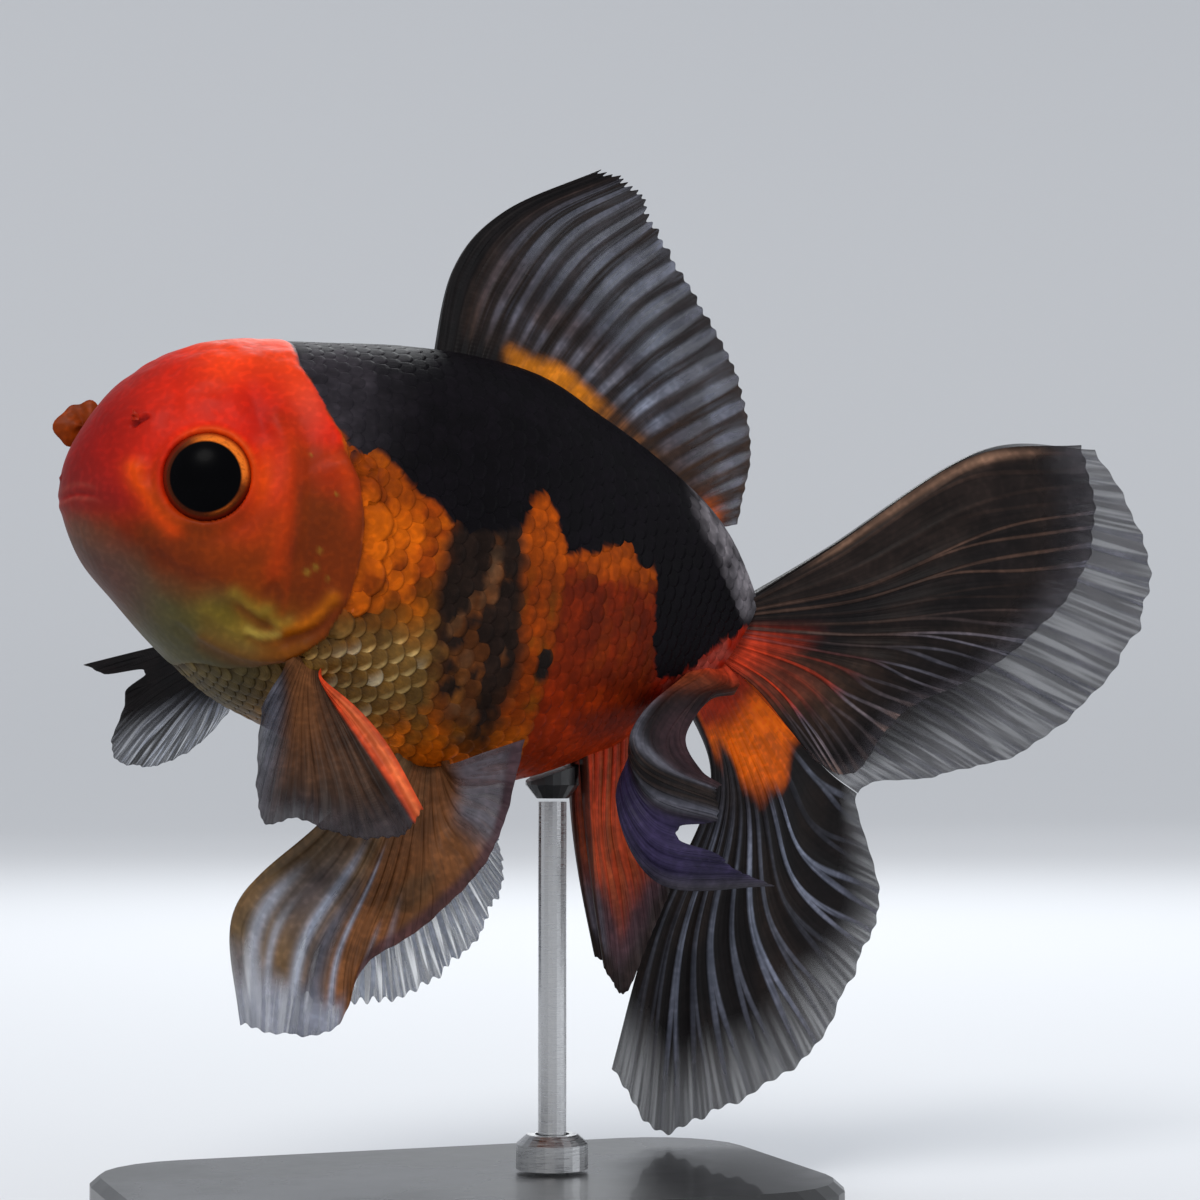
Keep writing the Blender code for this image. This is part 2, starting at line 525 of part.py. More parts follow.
def build_stand(body_room, finishes):
    corners = []
    for quarter, (sx, sy) in enumerate(((1, 1), (-1, 1), (-1, -1), (1, -1))):
        cx, cy = sx * (BASE_LENGTH / 2 - BASE_CORNER), sy * (BASE_WIDTH / 2 - BASE_CORNER)
        for step in range(7):
            a = math.radians(90 * quarter + 15 * step)
            corners.append((cx + BASE_CORNER * math.cos(a), cy + BASE_CORNER * math.sin(a)))
    count = len(corners)
    inset = BASE_BEVEL
    outline = [(x, y, 0) for x, y in corners] + [(x, y, BASE_HEIGHT - inset) for x, y in corners]
    shrink_x, shrink_y = 1 - 2 * inset / BASE_LENGTH, 1 - 2 * inset / BASE_WIDTH
    outline += [(x * shrink_x, y * shrink_y, BASE_HEIGHT) for x, y in corners]
    faces = [tuple(range(count)), tuple(range(2 * count, 3 * count))]
    for level in range(2):
        a, b = level * count, (level + 1) * count
        faces += [(a + k, a + (k + 1) % count, b + (k + 1) % count, b + k) for k in range(count)]
    add_object("stand_base", mesh_of("stand_base", outline, faces), finishes["base"], Matrix.Identity(4))

    foot = CARRY @ Vector((ROD_X * MM, 0, body_section(ROD_X)[1] * MM))
    rod_x, belly = foot.x / MM, foot.z / MM
    floor = BASE_HEIGHT + CLEARANCE
    collar_top = floor + COLLAR_HEIGHT
    inner = ROD_RADIUS + CLEARANCE
    ring = ((inner, floor), (COLLAR_RADIUS, floor), (COLLAR_RADIUS, collar_top - 0.8), (inner + 0.7, collar_top))
    collar(rod_x, ring + ((inner, collar_top),), finishes["steel"])
    rest_foot = belly - REST_HEIGHT
    rod = ((0, floor), (ROD_RADIUS, floor), (ROD_RADIUS, rest_foot - CLEARANCE), (0, rest_foot - CLEARANCE))
    turned("stand_rod", rod, rod_x, finishes["steel"], 20)
    cup = ((0, rest_foot), (REST_RADIUS * 0.6, rest_foot), (REST_RADIUS, rest_foot + 1.2))
    rest = turned("stand_rest", cup + ((REST_RADIUS, belly + 2), (0, belly + 2)), rod_x, finishes["base"], 20)
    boolean(rest, body_room)


def collar(x, ring, finish, sides=24):
    """A ring round the foot of the rod, turned from its closed section."""
    count = len(ring)
    points = []
    for k in range(sides):
        a = 2 * math.pi * k / sides
        points += [(x + r * math.cos(a), r * math.sin(a), h) for r, h in ring]
    faces = []
    for k in range(sides):
        here, there = k * count, (k + 1) % sides * count
        faces += [(here + i, here + (i + 1) % count, there + (i + 1) % count, there + i) for i in range(count)]
    return add_object("stand_collar", mesh_of("stand_collar", points, faces), finish, Matrix.Identity(4))


def main():
    clear_scene()
    finishes = {
        "red": material("red skin", (0.78, 0.07, 0.02), 0.35),
        "orange": material("orange skin", (0.72, 0.22, 0.03), 0.35),
        "black": material("black skin", (0.015, 0.013, 0.015), 0.4),
        "smoke": material("smoky fin", (0.10, 0.08, 0.09), 0.45),
        "brown": material("brown fin", (0.35, 0.16, 0.07), 0.45),
        "eye": material("eye", (0.01, 0.01, 0.01), 0.08),
        "base": material("black lacquer", (0.02, 0.02, 0.02), 0.3),
        "steel": material("brushed steel", (0.6, 0.6, 0.6), 0.3, 1.0),
    }
    body_room = as_cutter(add_object("body_room", body_mesh("body_room", CLEARANCE)))
    build_body(finishes)
    build_nostrils(body_room, finishes)
    build_fins(body_room, finishes)
    build_stand(body_room, finishes)


main()
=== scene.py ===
import math

import bpy
import numpy as np
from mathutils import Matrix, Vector, noise


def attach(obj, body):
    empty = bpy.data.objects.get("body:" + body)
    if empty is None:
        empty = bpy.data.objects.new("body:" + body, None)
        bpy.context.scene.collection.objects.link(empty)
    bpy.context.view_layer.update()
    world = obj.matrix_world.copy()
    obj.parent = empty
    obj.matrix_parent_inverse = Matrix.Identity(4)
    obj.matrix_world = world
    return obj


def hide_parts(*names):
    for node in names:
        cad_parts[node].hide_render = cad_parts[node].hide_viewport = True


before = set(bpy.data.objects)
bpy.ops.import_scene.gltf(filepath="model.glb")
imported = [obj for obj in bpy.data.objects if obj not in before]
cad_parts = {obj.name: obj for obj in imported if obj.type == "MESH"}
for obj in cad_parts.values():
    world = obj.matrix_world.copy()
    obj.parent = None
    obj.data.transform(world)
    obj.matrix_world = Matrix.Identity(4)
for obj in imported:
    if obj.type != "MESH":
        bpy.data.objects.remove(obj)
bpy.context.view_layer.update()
print("frame loaded:", len(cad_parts), "nodes")

mm = 0.001
scene = bpy.context.scene

# the fish is shaped in its own millimetres: x back from the mouth, y to its right, z up
carry = {"noseUp": math.radians(8), "along": 36, "height": 57.5}


def toRow(points):
    p = np.asarray(points, float)
    c, s = math.cos(carry["noseUp"]), math.sin(carry["noseUp"])
    x = p[..., 0] - carry["along"]
    return np.stack([x * c + p[..., 2] * s, p[..., 1], -x * s + p[..., 2] * c + carry["height"]], -1) * mm


def fromRow(points):
    p = np.asarray(points, float) / mm
    c, s = math.cos(carry["noseUp"]), math.sin(carry["noseUp"])
    x, z = p[..., 0], p[..., 2] - carry["height"]
    return np.stack([x * c - z * s + carry["along"], p[..., 1], x * s + z * c], -1)


def soft(low, high, value):
    t = np.clip((np.asarray(value, float) - low) / (high - low), 0, 1)
    return t * t * (3 - 2 * t)


def hump(a, b, centre, radii):
    return np.exp(-(((a - centre[0]) / radii[0]) ** 2) - ((b - centre[1]) / radii[1]) ** 2)


def stripe(v, centre, width):
    return np.exp(-(((v - centre) / width) ** 2))


def curveThrough(line, t):
    # a smooth curve through evenly read points; t is an array from 0 to 1
    line = np.asarray(line, float)
    count = len(line)
    place = np.asarray(t, float) * (count - 1)
    i = np.clip(place.astype(int), 0, count - 2)
    u = (place - i).reshape((-1,) + (1,) * (line.ndim - 1))
    padded = np.concatenate([[2 * line[0] - line[1]], line, [2 * line[-1] - line[-2]]])
    p0, p1, p2, p3 = padded[i], padded[i + 1], padded[i + 2], padded[i + 3]
    square = (2 * p0 - 5 * p1 + 4 * p2 - p3) * u**2
    return 0.5 * (2 * p1 + (p2 - p0) * u + square + (3 * (p1 - p2) + p3 - p0) * u**3)


def lineDistance(x, z, line, smooth=True):
    # distance in the side view to a line of points, and how far along it the nearest point is
    best, share = np.full(np.shape(x), 1e9), np.zeros(np.shape(x))
    line = np.asarray(line, float)
    if smooth and len(line) > 2:
        line = curveThrough(line, np.linspace(0, 1, 4 * len(line) - 3))
    for k in range(len(line) - 1):
        a, b = line[k], line[k + 1]
        d = b - a
        t = np.clip(((x - a[0]) * d[0] + (z - a[1]) * d[1]) / (d @ d), 0, 1)
        away = np.hypot(x - a[0] - t * d[0], z - a[1] - t * d[1])
        share = np.where(away < best, (k + t) / (len(line) - 1), share)
        best = np.minimum(best, away)
    return best, share


def insideOutline(x, z, outline):
    # distance to a closed outline in the side view, negative inside it
    line = np.asarray(outline, float)
    line = np.vstack([line, line[:1]])
    away, _ = lineDistance(x, z, line, smooth=False)
    inside = np.zeros(np.shape(x), bool)
    for a, b in zip(line[:-1], line[1:]):
        if a[1] != b[1]:
            crosses = (a[1] > z) != (b[1] > z)
            inside ^= crosses & (x < (b[0] - a[0]) * (z - a[1]) / (b[1] - a[1]) + a[0])
    return np.where(inside, -away, away)


def cloud(points, size, seed=0, octaves=2):
    # smooth noise from -1 to 1, with features about size across; size is one number or one for each axis
    place = np.asarray(points, float) / size + seed
    values = [noise.fractal(Vector(p), 1, 2, octaves) for p in place.reshape(-1, 3)]
    return np.array(values).reshape(place.shape[:-1])


def addObject(name, data):
    made = bpy.data.objects.new(name, data)
    scene.collection.objects.link(made)
    return made


# materials are put together from wires, which add and multiply like plain numbers
class wire:
    def __init__(self, socket):
        self.socket, self.tree = socket, socket.id_data

    def __add__(self, other):
        return addMath("ADD", self, other)

    def __sub__(self, other):
        return addMath("SUBTRACT", self, other)

    def __rsub__(self, other):
        return addMath("SUBTRACT", other, self)

    def __mul__(self, other):
        return addMath("MULTIPLY", self, other)

    def __truediv__(self, other):
        return addMath("DIVIDE", self, other)


def feed(socket, value):
    if isinstance(value, wire):
        value.tree.links.new(value.socket, socket)
    elif socket.type == "RGBA" and len(value) == 3:
        socket.default_value = (*value, 1)
    else:
        socket.default_value = value


def addNode(kind, *values):
    # a node in the same tree as the wires among the values, which go to its first inputs in order
    tree = next(value.tree for value in values if isinstance(value, wire))
    node = tree.nodes.new(kind)
    for socket, value in zip(node.inputs, values):
        feed(socket, value)
    return node


def addMath(operation, a, b=0, c=0, clamp=False):
    node = addNode("ShaderNodeMath", a, b, c)
    node.operation, node.use_clamp = operation, clamp
    return wire(node.outputs[0])


def ramp(value, low, high, toLow=0, toHigh=1, smooth=True):
    node = addNode("ShaderNodeMapRange", value, low, high, toLow, toHigh)
    node.interpolation_type = "SMOOTHSTEP" if smooth else "LINEAR"
    return wire(node.outputs["Result"])


def mix(share, a, b, blend="MIX"):
    tree = next(value.tree for value in (share, a, b) if isinstance(value, wire))
    node = tree.nodes.new("ShaderNodeMix")
    node.data_type, node.blend_type = "RGBA", blend
    for place, value in ((0, share), (6, a), (7, b)):
        feed(node.inputs[place], value)
    return wire(node.outputs[2])


def tinted(colour, by):
    return mix(1, colour, by, "MULTIPLY")


def joined(x, y):
    return wire(addNode("ShaderNodeCombineXYZ", x, y).outputs[0])


def addAttribute(tree, name, colour=False):
    node = tree.nodes.new("ShaderNodeAttribute")
    node.attribute_name = name
    return wire(node.outputs["Color" if colour else "Fac"])


def objectPlace(tree):
    return wire(tree.nodes.new("ShaderNodeTexCoord").outputs["Object"])


def addNoise(tree, scale, detail, vector=None):
    node = tree.nodes.new("ShaderNodeTexNoise")
    feed(node.inputs["Vector"], vector or objectPlace(tree))
    for label, value in (("Scale", scale), ("Detail", detail), ("Roughness", 0.55)):
        feed(node.inputs[label], value)
    return wire(node.outputs["Fac"])


def addBump(height, distance, strength):
    node = height.tree.nodes.new("ShaderNodeBump")
    for label, value in (("Strength", strength), ("Distance", distance), ("Height", height)):
        feed(node.inputs[label], value)
    return wire(node.outputs["Normal"])


def newMaterial(name):
    made = bpy.data.materials.new(name)
    made.use_nodes = True
    made.node_tree.nodes.clear()
    output = made.node_tree.nodes.new("ShaderNodeOutputMaterial")
    shader = made.node_tree.nodes.new("ShaderNodeBsdfPrincipled")
    made.node_tree.links.new(shader.outputs[0], output.inputs[0])
    return made, made.node_tree, shader


def setShader(shader, values):
    for label, value in values.items():
        feed(shader.inputs[label], value)


def newGroup(name, inputs, outputs):
    tree = bpy.data.node_groups.new(name, "ShaderNodeTree")
    for label, value in inputs.items():
        kind = "NodeSocketColor" if isinstance(value, tuple) else "NodeSocketFloat"
        tree.interface.new_socket(label, in_out="INPUT", socket_type=kind).default_value = value
    for label in outputs:
        kind = "NodeSocketColor" if label == "Colour" else "NodeSocketFloat"
        tree.interface.new_socket(label, in_out="OUTPUT", socket_type=kind)
    given = {socket.name: wire(socket) for socket in tree.nodes.new("NodeGroupInput").outputs if socket.name}
    return tree, given, tree.nodes.new("NodeGroupOutput").inputs


def addGroup(tree, group, values):
    node = tree.nodes.new("ShaderNodeGroup")
    node.node_tree = group
    for label, value in values.items():
        feed(node.inputs[label], value)
    return {socket.name: wire(socket) for socket in node.outputs}


# fine living texture: cloudy colour, uneven wetness and small pores, shared by skin, scales, flaps and fins
def makeSkinTexture():
    tree, given, out = newGroup(
        "livingSkin",
        {"Colour": (0.5, 0.5, 0.5, 1), "Clouding": 0.25, "Grain": 0.35, "Pores": 0.5, "Roughness": 0.35},
        ("Colour", "Roughness", "Height"),
    )
    coarse, fine, colour = addNoise(tree, 330, 1), addNoise(tree, 1900, 0), given["Colour"]
    darker, lighter = tinted(colour, (0.55, 0.5, 0.5)), tinted(colour, (1.55, 1.45, 1.4))
    clouds = mix(ramp(coarse, 0.35, 0.65), darker, lighter)
    clouded = mix(given["Clouding"], colour, clouds)
    speckled = mix(ramp(fine, 0.35, 0.65), tinted(clouded, (0.62, 0.62, 0.62)), clouded)
    speckled = mix(ramp(fine, 0.56, 0.72), speckled, tinted(clouded, (1.45, 1.4, 1.4)))
    feed(out["Colour"], mix(given["Grain"], clouded, speckled))
    feed(out["Roughness"], addMath("ADD", given["Roughness"], (coarse - 0.5) * 0.3, clamp=True))
    feed(out["Height"], fine * given["Pores"] + coarse * 0.5)
    return tree


# rays of a fin, drawn from its own along and across attributes; each ray forks once or twice on its way out
def makeFinRays():
    tree, given, out = newGroup(
        "finRays",
        {
            "Along": 0, "Across": 0, "Spread": 10, "Rays": 12, "Ray Width": 0.25, "Softness": 0.12,
            "First Fork": 0.4, "Second Fork": 0.75, "Wander": 0.03, "Variety": 0.2,
        },
        ("Ray", "Streak", "Joints"),
    )
    along, rays = given["Along"], given["Rays"]
    wander = (addNoise(tree, 1, 0, joined(along * 2.2, given["Across"] * 9)) - 0.5) * given["Wander"]
    counted = (given["Across"] + wander) * rays
    away = addMath("ABSOLUTE", addMath("FRACT", counted) - 0.5)
    for fork, length, apart in (("First Fork", 0.4, 0.25), ("Second Fork", 0.35, 0.125)):
        away = addMath("ABSOLUTE", away - ramp(along, given[fork], given[fork] + length, 0, apart))
    half = given["Ray Width"] * 0.5
    drawn = ramp(away * given["Spread"] / rays, half, half + given["Softness"], 1, 0)
    pick = tree.nodes.new("ShaderNodeTexWhiteNoise")
    pick.noise_dimensions = "1D"
    feed(pick.inputs["W"], addMath("FLOOR", counted))
    dimmed = ramp(wire(pick.outputs["Value"]), 0.95, 0.35) * given["Variety"]
    feed(out["Ray"], drawn * (1.0 - dimmed))
    feed(out["Streak"], addNoise(tree, 1, 1, joined(along * 3, counted * 5)))
    feed(out["Joints"], ramp(addMath("SINE", along * 420), -0.6, 0.9))
    return tree


livingSkin, finRays = makeSkinTexture(), makeFinRays()
print("shader groups made")


def addLiving(tree, shader, values):
    # the living texture on a material; gives its height for the bump
    living = addGroup(tree, livingSkin, values)
    setShader(shader, {"Base Color": living["Colour"], "Roughness": living["Roughness"]})
    return living["Height"]


def setPointData(mesh, kind, values):
    # values holds an array of numbers, vectors or colours for each attribute name
    field = {"FLOAT": "value", "FLOAT_VECTOR": "vector", "FLOAT_COLOR": "color"}[kind]
    for label, given in values.items():
        if kind == "FLOAT_COLOR":
            given = np.concatenate([given, np.ones((len(given), 1))], 1)
        layer = mesh.attributes.new(label, kind, "POINT")
        layer.data.foreach_set(field, np.asarray(given, np.float32).ravel())


def addPiece(name, points, faces, material, floats, colours=None):
    # points are in fish millimetres; the mesh holds their place in the row frame
    mesh = bpy.data.meshes.new(name)
    mesh.from_pydata(toRow(points).tolist(), [], [tuple(f) for f in faces])
    setPointData(mesh, "FLOAT", floats)
    setPointData(mesh, "FLOAT_COLOR", colours or {})
    mesh.materials.append(material)
    mesh.shade_smooth()
    mesh.update()
    return addObject(name, mesh)


def gridFaces(rows, columns, wrap=False):
    start = np.arange(rows - 1)[:, None] * columns
    place = np.arange(columns if wrap else columns - 1)[None, :]
    a, b = (start + place).ravel(), (start + (place + 1) % columns).ravel()
    return np.stack([a, b, b + columns, a + columns], 1)


def facingOut(points, faces):
    p = np.asarray(points, float)
    volume = 0.0
    for corners in (faces[:, [0, 1, 2]], faces[:, [0, 2, 3]]):
        a, b, c = p[corners[:, 0]], p[corners[:, 1]], p[corners[:, 2]]
        volume += np.einsum("ij,ij->i", a, np.cross(b, c)).sum()
    return faces if volume > 0 else faces[:, ::-1]


def closedFaces(points, rings, around):
    # rings that wrap round, closed by a pole point before the first ring and one after the last, facing out
    n, pole = around, rings * around
    quads = gridFaces(rings, around, wrap=True)
    caps = [(pole, (k + 1) % n, k) for k in range(n)]
    caps += [(pole + 1, (rings - 1) * n + k, (rings - 1) * n + (k + 1) % n) for k in range(n)]
    turned = facingOut(points, quads)
    if turned[0, 0] != quads[0, 0]:
        caps = [cap[::-1] for cap in caps]
    return [tuple(f) for f in turned] + caps


def ringGrid(rings, around):
    # angles down from one pole and round the axis of a ball
    return np.meshgrid(
        math.pi * np.arange(1, rings) / rings, 2 * math.pi * np.arange(around) / around, indexing="ij"
    )


# the body, as sections from snout to tail root
bodyShape = {
    "snout": -0.6, "neck": 24.6, "end": 61.2, "nose": (-0.68, 0, 2.6), "tailRoot": (61.9, 0, -2.6),
    "fullness": 2.2, "leanStart": 44, "leanAtEnd": 0.5,
    # place along it, back line, belly line, half width, height of the widest line
    "stations": (
        (-0.6, 2.6, 2.6, 0, 2.6), (0.4, 6.9, -1.2, 3.2, 2.6), (2.4, 10.6, -4.3, 5.7, 2.8),
        (5.6, 13.9, -7.1, 8.2, 2.9), (10, 16.4, -10.7, 10.4, 2.8), (15, 17.5, -13.9, 12.2, 2),
        (20, 18.3, -15.7, 13.3, 1.2), (27, 19.3, -17.6, 14.4, 0.6), (34, 19.6, -18.6, 14.5, 0),
        (40, 18.9, -18.2, 13.6, -0.6), (46, 16.3, -16.2, 11.4, -0.9), (51, 13.2, -14.2, 8.9, -1.2),
        (56, 9, -11.3, 6.2, -1.8), (61.2, 2.6, -7.6, 3.3, -2.6),
    ),
    "headRings": 165, "rings": 240, "around": 380, "lumps": 0.16, "headInset": 0.08, "trunkInset": 0.26,
}


def bodySection(x):
    # back line, belly line, half width and height of the widest line
    rows = np.array(bodyShape["stations"])
    q, v = np.sqrt(rows[:, 0] - bodyShape["snout"]), rows[:, 1:]
    slopes = np.empty_like(v)
    slopes[1:-1] = (v[2:] - v[:-2]) / (q[2:] - q[:-2])[:, None]
    slopes[0], slopes[-1] = (v[1] - v[0]) / (q[1] - q[0]), (v[-1] - v[-2]) / (q[-1] - q[-2])
    s = np.sqrt(np.clip(np.asarray(x, float) - bodyShape["snout"], 0, None))
    i = np.clip(np.searchsorted(q, s, side="right") - 1, 0, len(q) - 2)
    h = (q[i + 1] - q[i])[..., None]
    t = (s - q[i])[..., None] / h
    return (
        v[i] * (2 * t**3 - 3 * t**2 + 1)
        + slopes[i] * h * (t**3 - 2 * t**2 + t)
        + v[i + 1] * (3 * t**2 - 2 * t**3)
        + slopes[i + 1] * h * (t**3 - t**2)
    )


def bodyPoint(x, angle):
    x, angle = np.broadcast_arrays(np.asarray(x, float), np.asarray(angle, float))
    top, bottom, width, belt = np.moveaxis(bodySection(x), -1, 0)
    power = 2 / bodyShape["fullness"]
    across, up = np.cos(angle), np.sin(angle)
    y = width * np.sign(across) * np.abs(across) ** power
    z = belt + np.where(up > 0, top - belt, belt - bottom) * np.sign(up) * np.abs(up) ** power
    share = np.clip((x - bodyShape["leanStart"]) / (bodyShape["end"] - bodyShape["leanStart"]), 0, 1)
    return np.stack([x + bodyShape["leanAtEnd"] * share**1.5 * (z - belt), y, z], -1)


def backLine(x):
    return bodySection(np.clip(x, bodyShape["snout"] + 0.1, bodyShape["end"]))[..., 0]


def bodyNormal(x, angle):
    step, first, last = 0.02, bodyShape["snout"], bodyShape["end"]
    ahead = bodyPoint(np.clip(x + step, first + 0.01, last - 0.01), angle)
    ahead = ahead - bodyPoint(np.clip(x - step, first + 0.005, last - 0.02), angle)
    upward = bodyPoint(x, angle + step) - bodyPoint(x, angle - step)
    normal = np.cross(upward, ahead)
    return normal / np.maximum(np.linalg.norm(normal, axis=-1, keepdims=True), 1e-9)


# the head's features, as lines in the side view (x, z)
headLines = {
    "capEdge": ((16.2, 17.6), (16.5, 14.6), (17.5, 12.9), (18.9, 10.3), (20, 8.8), (20.9, 7.2)),
    "gillEdge": (
        (20.4, 7.5), (21.8, 5.1), (22.6, 1.9), (22.8, -1.4), (22.4, -4.8), (21.2, -8.2), (18.4, -10.6),
    ),
    "gillUnder": ((18.4, -10.6), (15.6, -11), (12.6, -10.2), (10, -8.8)),
    "gillBand": ((20.3, 6.4), (21.1, 4.2), (21.6, 1.7), (21.9, -1.4), (21.6, -4.6)),
    "cheekRidge": ((14.9, 9.2), (15.7, 7.3), (16.1, 5.1), (16.3, 3), (16.4, -0.3), (16.1, -3.4)),
    "cheekCrease": ((12.6, 10.9), (13.1, 9.4), (13.7, 7.9)),
    "underEye": ((4.3, 3.6), (4.7, 2.5), (5.4, 1.7), (6.7, 0.2), (7.9, -0.8)),
    "eyeFold": ((7, -3.4), (8.6, -4.2), (10.4, -4.7)),
    "mouth": ((-0.6, 0.5), (-0.2, 0.8), (0.4, 1.1), (1.1, 1.1), (1.8, 1), (2.5, 0.7)),
    "upperLip": ((-0.5, 1.4), (0, 1.8), (0.6, 1.9), (1.4, 1.7), (2, 1.3)),
    "nostrilSlit": ((3.8, 7.3), (4.2, 7.7), (4.7, 8.1)),
}
# folds of the throat: line, half width, height, tone and how strong it is
throatFolds = (
    (((13.4, -5.6), (14.1, -6.2), (15, -6.7), (15.5, -7)), 0.6, 0.24, "straw", 0.62),
    (((16.1, -6.6), (16.4, -7.2), (16.9, -7.5), (17.7, -7.6), (18, -7.4)), 0.58, 0.26, "straw", 0.68),
    (((15, -8.3), (15.9, -8.6), (16.8, -8.5), (17.5, -8.3)), 0.3, 0.12, "cream", 0.6),
    (((18.2, -8), (19.1, -7.4), (19.8, -6.9), (20.5, -5.9), (21, -4.9)), 0.6, 0.32, "gilt", 0.85),
    (((11.6, -7.2), (12.9, -8), (14.2, -8.7)), 0.7, 0.14, "straw", 0.3),
    (((12, -9.4), (14.6, -10.3), (17.2, -10.2), (19.6, -8.8)), 0.6, 0.16, "bronze", 0.5),
)
throatShade = (
    ((14, -6.7), (15.3, -7.4), (16.6, -8)),
    ((18.2, -8.6), (19.5, -7.9), (20.7, -7.2), (21.4, -6.2)),
    ((15.8, -5.2), (16.3, -4.5), (16.9, -5.6)),
)


gillSpecks = (
    (19.3, -1.2, 0.2), (19.2, -2.6, 0.24), (18.6, -3.1, 0.26),
    (20, 3.6, 0.14), (17.6, 6.6, 0.13), (20.3, -3.4, 0.15),
)
headOutline = (
    *headLines["capEdge"][:-1], *headLines["gillEdge"],
    (16.4, -11.4), (14, -11.6), (12, -11.4), (10.4, -11.8), (7, -16),
    (0, -22), (-12, -22), (-12, 22), (16, 26),
)
eyeShape = {
    "centre": (10, 9.4, 3.6), "radius": 3.72, "depth": 2.35, "turn": math.radians(22),
    "flattened": 0.1, "rings": 40, "around": 72,
    # distances from the eye's axis
    "pupil": (2.87, 3.07), "lid": (3.1, 3.36), "lidWidth": 0.32, "ringEdge": (3.72, 3.48),
}
# colours of the eye: low, middle and high are the ring painted shaded, half lit and lit, and the lid has a
# painted shaded and lit colour
eyeTone = {
    "pupil": (0.0012, 0.0012, 0.0016), "low": (0.028, 0.006, 0.003), "middle": (0.2, 0.038, 0.006),
    "high": (0.9, 0.2, 0.02), "fleck": (0.02, 0.008, 0.004),
    "lidShaded": (0.12, 0.01, 0.004), "lidLit": (0.34, 0.045, 0.006),
}
skyward = np.array([0.0, 0.0, 1.0])


def eyeAxes(side):
    # centre of the eye, its outward axis and its level one
    t = eyeShape["turn"]
    x, y, z = eyeShape["centre"]
    out = np.array([-math.sin(t), side * math.cos(t), 0])
    return np.array([x, side * y, z]), out, np.array([math.cos(t), side * math.sin(t), 0])


def fromEye(p, side):
    # depth along the eye's axis, and places across it
    centre, out, back = eyeAxes(side)
    d = p - centre
    return d @ out, d @ back, d @ skyward


def brush(p, line, width, shift=(0, 0), fade=None):
    # one on a line of the side view, falling away on both sides of it
    if isinstance(line, str):
        line = headLines[line]
    away, share = lineDistance(p[..., 0] - shift[0], p[..., 2] - shift[1], line)
    mask = np.exp(-((away / width) ** 2))
    return mask if fade is None else mask * (1 - soft(*fade, share))


# folds of the skin: line, height, width, shift and fade
flankFolds = (
    ("gillUnder", 0.18, 0.6, (0, 0.5)), ("gillUnder", -0.22, 0.4),
    ("cheekRidge", 0.27, 1), ("cheekRidge", -0.19, 0.8, (1.4, 0)), ("cheekCrease", -0.12, 0.65),
    ("underEye", 0.38, 0.75), ("eyeFold", -0.16, 0.5),
    ("nostrilSlit", -0.38, 0.17), ("nostrilSlit", 0.12, 0.3, (-0.25, 0.32)),
)
lipFolds = (("mouth", 0.1, 0.45, (0, 0.55), (0.6, 1)), ("mouth", 0.12, 0.45, (0, -0.6), (0.6, 1)))


def headRelief(p):
    # how far the finished skin stands out from the plain body, in millimetres
    x, y, z = p[..., 0], p[..., 1], p[..., 2]
    width = bodySection(np.clip(x, bodyShape["snout"] + 0.01, bodyShape["end"]))[..., 2]
    flank = soft(0.25, 0.75, np.abs(y) / np.maximum(width, 0.5))
    inHead = soft(0.12, -0.12, insideOutline(x, z, headOutline))
    gill, gillShare = lineDistance(x, z, headLines["gillEdge"])
    over, under = 0.44 * np.exp(-((gill / 2.5) ** 2)), 0.3 * np.exp(-((gill / 1.3) ** 2))
    out = (inHead * over - (1 - inHead) * under) * soft(0, 0.06, gillShare) * flank
    for line, height, *rest in flankFolds:
        out += height * brush(p, line, *rest) * flank
    for line, width, height, _, _ in throatFolds:
        hollow = brush(p, line, width, (0.25, -0.65 - width * 0.3))
        out += height * (brush(p, line, width * 1.2) - hollow) * flank
    for line in throatShade:
        out -= 0.14 * brush(p, line, 0.3) * flank
    out += (0.24 * hump(x, z, (12.6, -3.2), (3.6, 3)) + 0.1 * hump(x, z, (3, -0.7), (1.3, 0.9))) * flank
    # shallow closed lips
    out -= 0.13 * brush(p, "mouth", 0.2, fade=(0.6, 1)) * soft(-0.55, 0.2, x)
    out -= 0.09 * brush(p, "upperLip", 0.22, fade=(0.6, 1)) * soft(-0.55, 0.3, x)
    for line, height, *rest in lipFolds:
        out += height * brush(p, line, *rest)
    # the skin dips behind the eye and rises in a thick rim round it
    for side in (-1, 1):
        level, across, up = fromEye(p, side)
        r = np.hypot(across, up)
        here = (np.where(y < 0, -1, 1) == side) & (level > -6)
        rim = 0.24 * np.exp(-(((r - 4) / 0.4) ** 2)) - 2.6 * (1 - soft(3.15, 3.8, r))
        hollow = -0.1 * np.exp(-(((r - 5) / 0.7) ** 2))
        out = np.where(here, out * soft(3.7, 4.4, r) + rim + hollow, out)
    return out


# flesh at the roots of the paired fins: place, size and height
finRoots = (((20.2, 11, -10.6), 1.9, 0.75), ((32.6, 6, -16.2), 2.4, 0.6), ((51.5, 1.9, -12.6), 2.2, 0.45))


def bodyRelief(p):
    x, y, z = p[..., 0], p[..., 1], p[..., 2]
    keel = soft(28.5, 33, x) * (1 - soft(57, 60, x)) * soft(0, 1, z - 2)
    high = soft(0.55, 0.95, z / np.maximum(bodySection(x)[..., 0], 1))
    out = 0.2 * keel * np.exp(-((y / 1.2) ** 2)) * high
    for centre, size, height in finRoots:
        for side in (-1, 1):
            d2 = (x - centre[0]) ** 2 + (y - side * centre[1]) ** 2 + (z - centre[2]) ** 2
            out += height * np.exp(-d2 / size**2)
    return out


